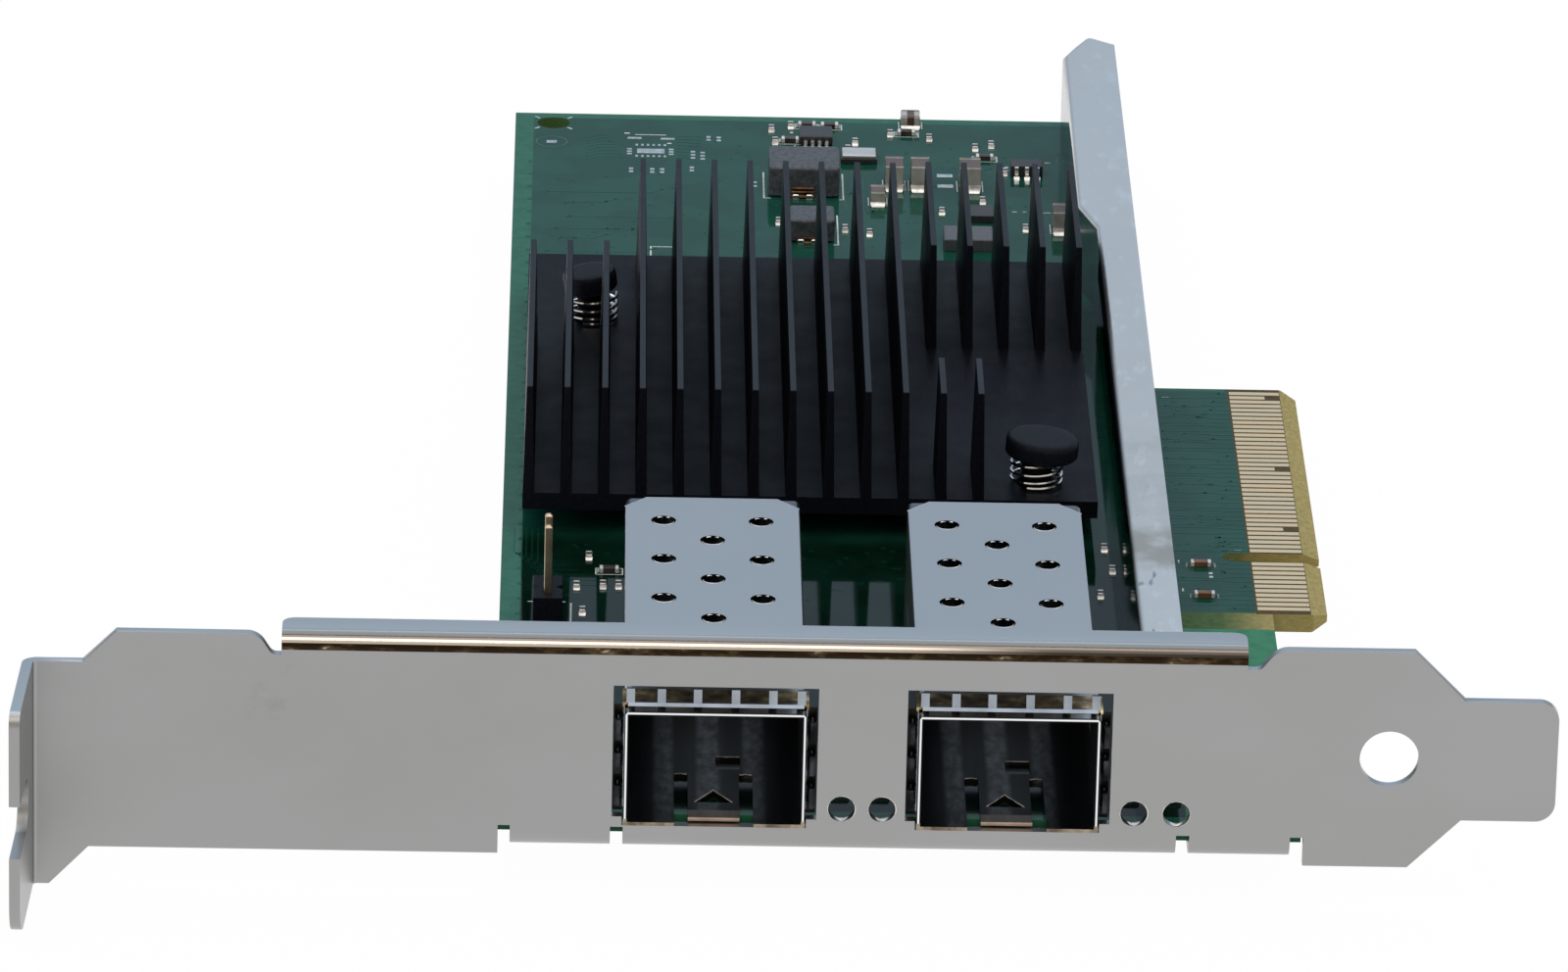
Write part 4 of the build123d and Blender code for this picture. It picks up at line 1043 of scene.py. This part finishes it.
def pads():
    """Bare tinned lands: empty part places, targets, connector leads and rings round the screw holes."""
    bm = bmesh.new()
    z = (BOARD_TOP, BOARD_TOP + 0.03)

    def land(x, y, w, d):
        slab(bm, (x - w / 2, x + w / 2), (y - d / 2, y + d / 2), z, 0.012)

    for k in range(6):
        for y in (159.35, 156.3):
            land(47.10 + 0.52 * k, y, 0.24, 0.42)
    land(48.40, 157.70, 2.55, 1.15)
    for x in (46.43, 50.28):
        for y in (158.2, 157.55, 156.9):
            land(x, y, 0.46, 0.30)
    for x, y in ((46.89, 161.2), (49.95, 161.1)):
        land(x, y, 1.30, 0.42)
    for x, y in ((53.75, 161.4), (54.69, 161.3), (46.59, 152.5), (48.53, 152.4), (49.43, 152.4),
                 (52.17, 153.0)):
        for step in (-0.40, 0.40):
            land(x, y + step, 0.40, 0.42)
    for x, y in ((52.28, 156.85), (53.18, 156.65)):
        for step in (-0.85, 0.0, 0.85):
            land(x, y + step, 0.42, 0.36)
    for x, y in ((75.40, 152.35), (75.40, 149.55)):
        land(x, y, 1.45, 0.75)
    for x, y in ((95.36, 55.35), (95.36, 54.55), (57.95, 149.7), (57.95, 148.7), (81.15, 154.9),
                 (81.15, 154.1)):
        land(x, y, 0.34, 0.34)
    for (x, y), w in zip(TARGETS, (0.95, 0.55)):
        land(x, y, w, 0.62)
    for x in (81.98, 82.95, 83.92):
        land(x, 150.95, 0.42, 1.15)
    for x, y in SCREWS:
        washer(bm, x, y, z, 3.25, 1.62, 36)
    for cx in CAGES_X:
        for k in range(10):
            land(cx - 3.6 + 0.8 * k, 32.55, 0.34, 1.1)
    new_piece("bare_lands", bm, "solder")


def silk():
    """White printed outlines and ticks, and no lettering."""
    bm = bmesh.new()
    z = (BOARD_TOP, BOARD_TOP + 0.014)
    hx, hy = CORNER_HOLE
    for sx in (-1, 1):
        for sy in (-1, 1):
            ribbon(bm, [(hx + sx * 1.28, hy + sy * 1.22), (hx + sx * 1.72, hy + sy * 1.66)], 0.15, z)
    brackets = ([(46.94, 162.12), (49.84, 162.10)],
                [(58.73, 152.42), (58.73, 145.55), (59.35, 145.55)],
                [(65.98, 152.30), (65.98, 145.40), (65.62, 145.40)],
                [(65.33, 141.2), (65.33, 133.45), (64.9, 133.45)],
                [(48.39, 129.33), (48.39, 132.2), (50.33, 132.2)])
    ticks = ([(84.73, 156.3), (85.25, 156.3)], [(81.34, 142.98), (81.75, 142.98)],
             [(82.30, 143.0), (82.62, 143.0)], [(84.15, 142.85), (84.85, 142.85)],
             [(92.78, 57.55), (92.78, 58.15)], [(92.86, 51.2), (92.86, 51.85)],
             [(41.75, 41.0), (41.75, 46.3)], [(38.15, 46.55), (41.3, 46.55)],
             [(93.0, 96.4), (93.6, 96.4)], [(97.6, 60.6), (98.2, 60.6)], [(61.7, 159.5), (61.7, 159.9)])
    for points in brackets + ticks:
        ribbon(bm, points, 0.14, z)
    for x, y, w, d in ((46.21, 162.46, 0.5, 0.25), (50.11, 159.85, 0.4, 0.25), (61.45, 163.4, 0.3, 0.3)):
        slab(bm, (x - w / 2, x + w / 2), (y - d / 2, y + d / 2), z)
    w, d = 1.12, 0.68
    for x, y in ((62.9, 165.1), (65.0, 165.0), (79.2, 157.0), (61.3, 160.9), (72.1, 163.4), (44.9, 53.5)):
        ribbon(bm, [(x - w, y - d), (x + w, y - d), (x + w, y + d), (x - w, y + d), (x - w, y - d)], 0.10, z)
    for low, high in islands("tall_capacitors"):
        for x in (low.x - 0.22, high.x + 0.22):
            ribbon(bm, [(x, low.y - 0.35), (x, high.y + 0.35)], 0.10, z)
    new_piece("printed_lines", bm, "silk", smooth=False)
    rings = bmesh.new()
    for (x, y), radius, hole, sides in zip(TARGETS, (1.50, 0.95), (1.36, 0.84), (36, 30)):
        washer(rings, x, y, (BOARD_TOP, BOARD_TOP + 0.012), radius, hole, sides)
    new_piece("target_rings", rings, "laminate", smooth=False)


def keep_outs():
    """Boxes of the parts that no via may lie under, with a margin."""
    margin = Vector((0.45, 0.45, 0))
    boxes = []
    for name in ("bracket_screws", "power_inductor_large", "power_inductor_small", "flash_memory",
                 "crystal_base", "tall_capacitors", "tall_capacitor_ends", "driver_package",
                 "power_stage_packages", "array_package", "array_terminals", "chip_bodies", "chip_end_caps",
                 "header_base", "push_pins", "back_capacitors", "back_capacitor_ends", "status_leds"):
        boxes += [(low - margin, high + margin) for low, high in islands(name)]
    return boxes


def tracks():
    """Copper tracks under the mask, as low raised lines, with their vias, on both sides of the board."""
    rng = random.Random(21)
    bm = bmesh.new()
    vias = []
    top = (BOARD_TOP, BOARD_TOP + 0.016)
    under = (BOARD_BOTTOM - 0.016, BOARD_BOTTOM)

    def via(x, y, z=top, r=0.27):
        vias.append((x, y, z, r))

    # fan-out of the edge contacts, in pairs that jog towards the controller
    contact_x = 98.88
    for z in (top, under):
        for pin in range(1, 50):
            y = ORIGIN.y - 1.5 - (11 - pin) if pin <= 11 else ORIGIN.y + 1.5 + (pin - 12)
            if rng.random() < 0.28:
                x = 98.9 - rng.uniform(0.9, 2.6)
                ribbon(bm, [(contact_x, y), (x, y)], 0.22, z)
                via(x, y, z)
                continue
            jog = 0.22 if pin % 2 else -0.22
            reach = rng.uniform(92.0, 94.5) if rng.random() < 0.4 else 91.75
            points = [(contact_x, y), (97.4 - rng.uniform(0, 0.6), y), (96.2, y + jog), (reach, y + jog)]
            ribbon(bm, points, 0.16, z)
            if reach > 91.8:
                via(reach, y + jog, z)
    # pairs between the port connectors and the controller
    for cx in CAGES_X:
        for k in range(4):
            for step in (-0.16, 0.16):
                x = cx - 2.8 + 1.6 * k + step
                inward = x + (62.0 - cx) * 0.18
                ribbon(bm, [(x, 45.8), (x, 50 + k), (inward, 55.5 + k), (inward, 71.8)], 0.15, top)
    # quiet runs on the rear left of the board and beside the heat sink
    for k in range(9):
        y = 121.5 + 3.1 * k + rng.uniform(-0.5, 0.5)
        x = 38.5 + rng.uniform(0, 3.0)
        far = x + rng.uniform(4.0, 11.5)
        ribbon(bm, [(x, y), (far - 1.2, y), (far, y + 1.1)], 0.15, top)
        via(x, y)
        via(far, y + 1.1)
    for k in range(8):
        y = 156.0 + 0.85 * k
        ribbon(bm, [(46.0 - 0.25 * k, y), (43.6, y), (42.4, y - 0.9)], 0.12, top)
        ribbon(bm, [(50.8, y), (52.0 + 0.2 * k, y - 0.2)], 0.12, top)
    for k in range(5):
        left, right, y = 36.9 + 0.5 * k, 39.0 + 0.9 * k, 54.8 - 1.1 * k
        ribbon(bm, [(left, 63.0), (left, y + 2.7), (right, y), (right + 2.4, y)], 0.14, top)
    for k in range(7):
        x, near = 66.2 + 0.55 * k, 142.5 + 0.4 * k
        ribbon(bm, [(x, 153.5 - 0.6 * k), (x, near), (x + 0.9, near - 1.3)], 0.13, top)
        via(x + 0.9, near - 1.3)
    # broad runs of the underside, round the controller's own capacitors
    for k in range(16):
        x = 46.0 + 2.1 * k
        ribbon(bm, [(x, 52.0 + rng.uniform(-3, 3)), (x, 68.5), (x + (62.05 - x) * 0.35, 73.5)], 0.16, under)
        via(x, 52.0, under)
    for k in range(14):
        y = 126.0 + 2.6 * k
        x = 52 + rng.uniform(-6, 4)
        ribbon(bm, [(x, y), (x + rng.uniform(8, 20), y), (x + 24, y - 2.2)], 0.18, under)
        via(x, y, under)
        via(x + 24, y - 2.2, under)
    # stitching vias along the left rim, and vias scattered over the pour
    for k in range(46):
        y = 7.0 + 3.35 * k
        via(37.35 + rng.uniform(-0.05, 0.1), y)
        via(37.35, y, under)
    for count, x, y, z in ((150, (39, 86), (121.5, 165.5), top), (90, (39, 86), (47, 60), top),
                           (50, (92.6, 97.6), (49, 96), top), (260, (39, 97), (10, 96), under)):
        for _ in range(count):
            via(rng.uniform(*x), rng.uniform(*y), z, 0.23)
    parts = keep_outs()
    holes = (*PIN_PLACES, CORNER_HOLE, *SCREWS, *TARGETS)
    rings = bmesh.new()
    for x, y, z, r in vias:
        covered = any(low.x < x < high.x and low.y < y < high.y for low, high in parts)
        by_hole = any((x - a) ** 2 + (y - b) ** 2 < 16 for a, b in holes)
        on_lands = 46.0 < x < 51.0 and 155.5 < y < 163.0 and z is top
        if not (covered or by_hole or on_lands):
            washer(rings, x, y, z if z is top else (z[1], z[0] - 0.004), r, r * 0.42, 10)
    new_piece("covered_vias", rings, "track", smooth=False)
    new_piece("covered_tracks", bm, "track", smooth=False)


def coil_details():
    """Glimpses of winding and clip under the front edge of the two coils."""
    winding, clips = bmesh.new(), bmesh.new()
    for x, y, z, rows, wide in ((62.25, 145.75, 2.95, 3, 2.0), (62.55, 133.9, 2.85, 2, 1.9)):
        for k in range(rows):
            turn = [(x + wide * (t - 0.5), y - 0.10 - 0.05 * math.sin(math.pi * t), z + 0.36 * k)
                    for t in (j / 6 for j in range(7))]
            wire(winding, turn, 0.155)
        for cx in (x - 0.62, x + 0.62):
            slab(clips, (cx - 0.28, cx + 0.28), (y - 0.34, y - 0.02), (BOARD_TOP, BOARD_TOP + 0.42), 0.08)
    new_piece("coil_winding", winding, "copper")
    new_piece("coil_clips", clips, "solder")


mouth_details()
painted_sheet_glints()
array_straps()
push_pins()
pin_springs()
fillets()
pin_solder()
pads()
silk()
tracks()
coil_details()


# Light, floor and camera.
CARD_MIDDLE = at(62, 70, 5)


def studio_floor():
    """Pale floor that the camera and the metal see as white, with the card's shadow kept."""
    size, gap, white = 6.0, mm(0.2), 0.98
    bm = bmesh.new()
    bmesh.ops.create_grid(bm, x_segments=1, y_segments=1, size=size)
    bmesh.ops.translate(bm, verts=bm.verts, vec=(0, 0, cad_box[0][2] - gap))
    mesh = bpy.data.meshes.new("floor")
    bm.to_mesh(mesh)
    bm.free()
    floor = bpy.data.objects.new("floor", mesh)
    bpy.context.scene.collection.objects.link(floor)
    paper = Surface("floor_paper", (0.85, 0.85, 0.85), 0.9, specular=0.1)
    path = paper.node("ShaderNodeLightPath").outputs
    seen = paper.either(path["Is Camera Ray"], path["Is Glossy Ray"], path["Is Transmission Ray"])
    glow = paper.node("ShaderNodeEmission")
    glow.inputs["Strength"].default_value = 1.0
    blend = paper.node("ShaderNodeMixShader")
    paper.link(paper.math("MULTIPLY", seen, white), blend.inputs[0])
    paper.link(paper.shader.outputs[0], blend.inputs[1])
    paper.link(glow.outputs[0], blend.inputs[2])
    paper.link(blend.outputs[0], paper.tree.nodes["Material Output"].inputs["Surface"])
    mesh.materials.append(paper.mat)


def studio_world():
    """Soft cool light overhead and behind, warmer in front."""
    world = bpy.data.worlds.new("studio")
    bpy.context.scene.world = world
    world.use_nodes = True
    tree = world.node_tree
    background = tree.nodes["Background"]
    coords = tree.nodes.new("ShaderNodeTexCoord")
    split = tree.nodes.new("ShaderNodeSeparateXYZ")
    tree.links.new(coords.outputs["Generated"], split.inputs[0])
    height = split.outputs["Z"]
    behind = blend_stops(tree, height, (
        (0.0, (0.30, 0.37, 0.46)), (0.34, (0.38, 0.48, 0.60)), (0.52, (0.62, 0.76, 0.92)),
        (0.72, (0.78, 0.90, 1.05)), (0.90, (0.70, 0.72, 0.74)), (1.0, (0.66, 0.63, 0.60))))
    front = blend_stops(tree, height, (
        (0.0, (0.80, 0.80, 0.79)), (0.22, (0.74, 0.72, 0.69)), (0.40, (0.62, 0.57, 0.51)),
        (0.66, (0.60, 0.55, 0.49)), (1.0, (0.66, 0.63, 0.60))))
    turn = tree.nodes.new("ShaderNodeMapRange")
    turn.interpolation_type = "SMOOTHSTEP"
    turn.inputs["From Min"].default_value = -0.22
    turn.inputs["From Max"].default_value = 0.10
    tree.links.new(split.outputs["Y"], turn.inputs["Value"])
    mix = tree.nodes.new("ShaderNodeMix")
    mix.data_type = "RGBA"
    tree.links.new(turn.outputs[0], mix.inputs[0])
    tree.links.new(front, mix.inputs[6])
    tree.links.new(behind, mix.inputs[7])
    tree.links.new(mix.outputs[2], background.inputs["Color"])
    background.inputs["Strength"].default_value = 1.0


def softbox(name, offset, size, power, color):
    """Broad lamp aimed at the middle of the card."""
    light = bpy.data.lights.new(name, "AREA")
    light.shape = "RECTANGLE"
    light.size, light.size_y = size
    light.energy = power
    light.color = color
    lamp = bpy.data.objects.new(name, light)
    bpy.context.scene.collection.objects.link(lamp)
    lamp.location = CARD_MIDDLE + Vector(offset)
    lamp.rotation_euler = (-Vector(offset)).to_track_quat("-Z", "Y").to_euler()


def photo_camera():
    """Long lens from the front and a little above, as in the photograph."""
    width, height = 1600, 992
    focal, axis_x, axis_y = 11476.04, 837.587, 485.177
    film = 36.0
    data = bpy.data.cameras.new("camera")
    camera = bpy.data.objects.new("camera", data)
    bpy.context.scene.collection.objects.link(camera)
    turn = Vector((1.9442588, 0.0018504, 0.0323928))
    right, down, forward = (Vector(row) for row in Quaternion(turn.normalized(), turn.length).to_matrix())
    place = at(41.908, -819.570, 353.713)
    camera.matrix_world = Matrix.Translation(place) @ Matrix((right, -down, -forward)).transposed().to_4x4()
    data.sensor_width = film
    data.lens = focal * film / width
    data.shift_x = (width / 2 - axis_x) / width
    data.shift_y = (axis_y - height / 2) / width
    data.clip_start, data.clip_end = 0.05, 20
    bpy.context.scene.camera = camera


studio_floor()
studio_world()
softbox("overhead", (0.0, 0.42, 1.0), (1.5, 1.0), 2.8, (0.90, 0.96, 1.0))
softbox("warm_strip", (0.0, -0.52, 1.0), (1.7, 0.70), 4.0, (1.0, 0.95, 0.88))
photo_camera()
bpy.context.scene.view_settings.view_transform = "Standard"
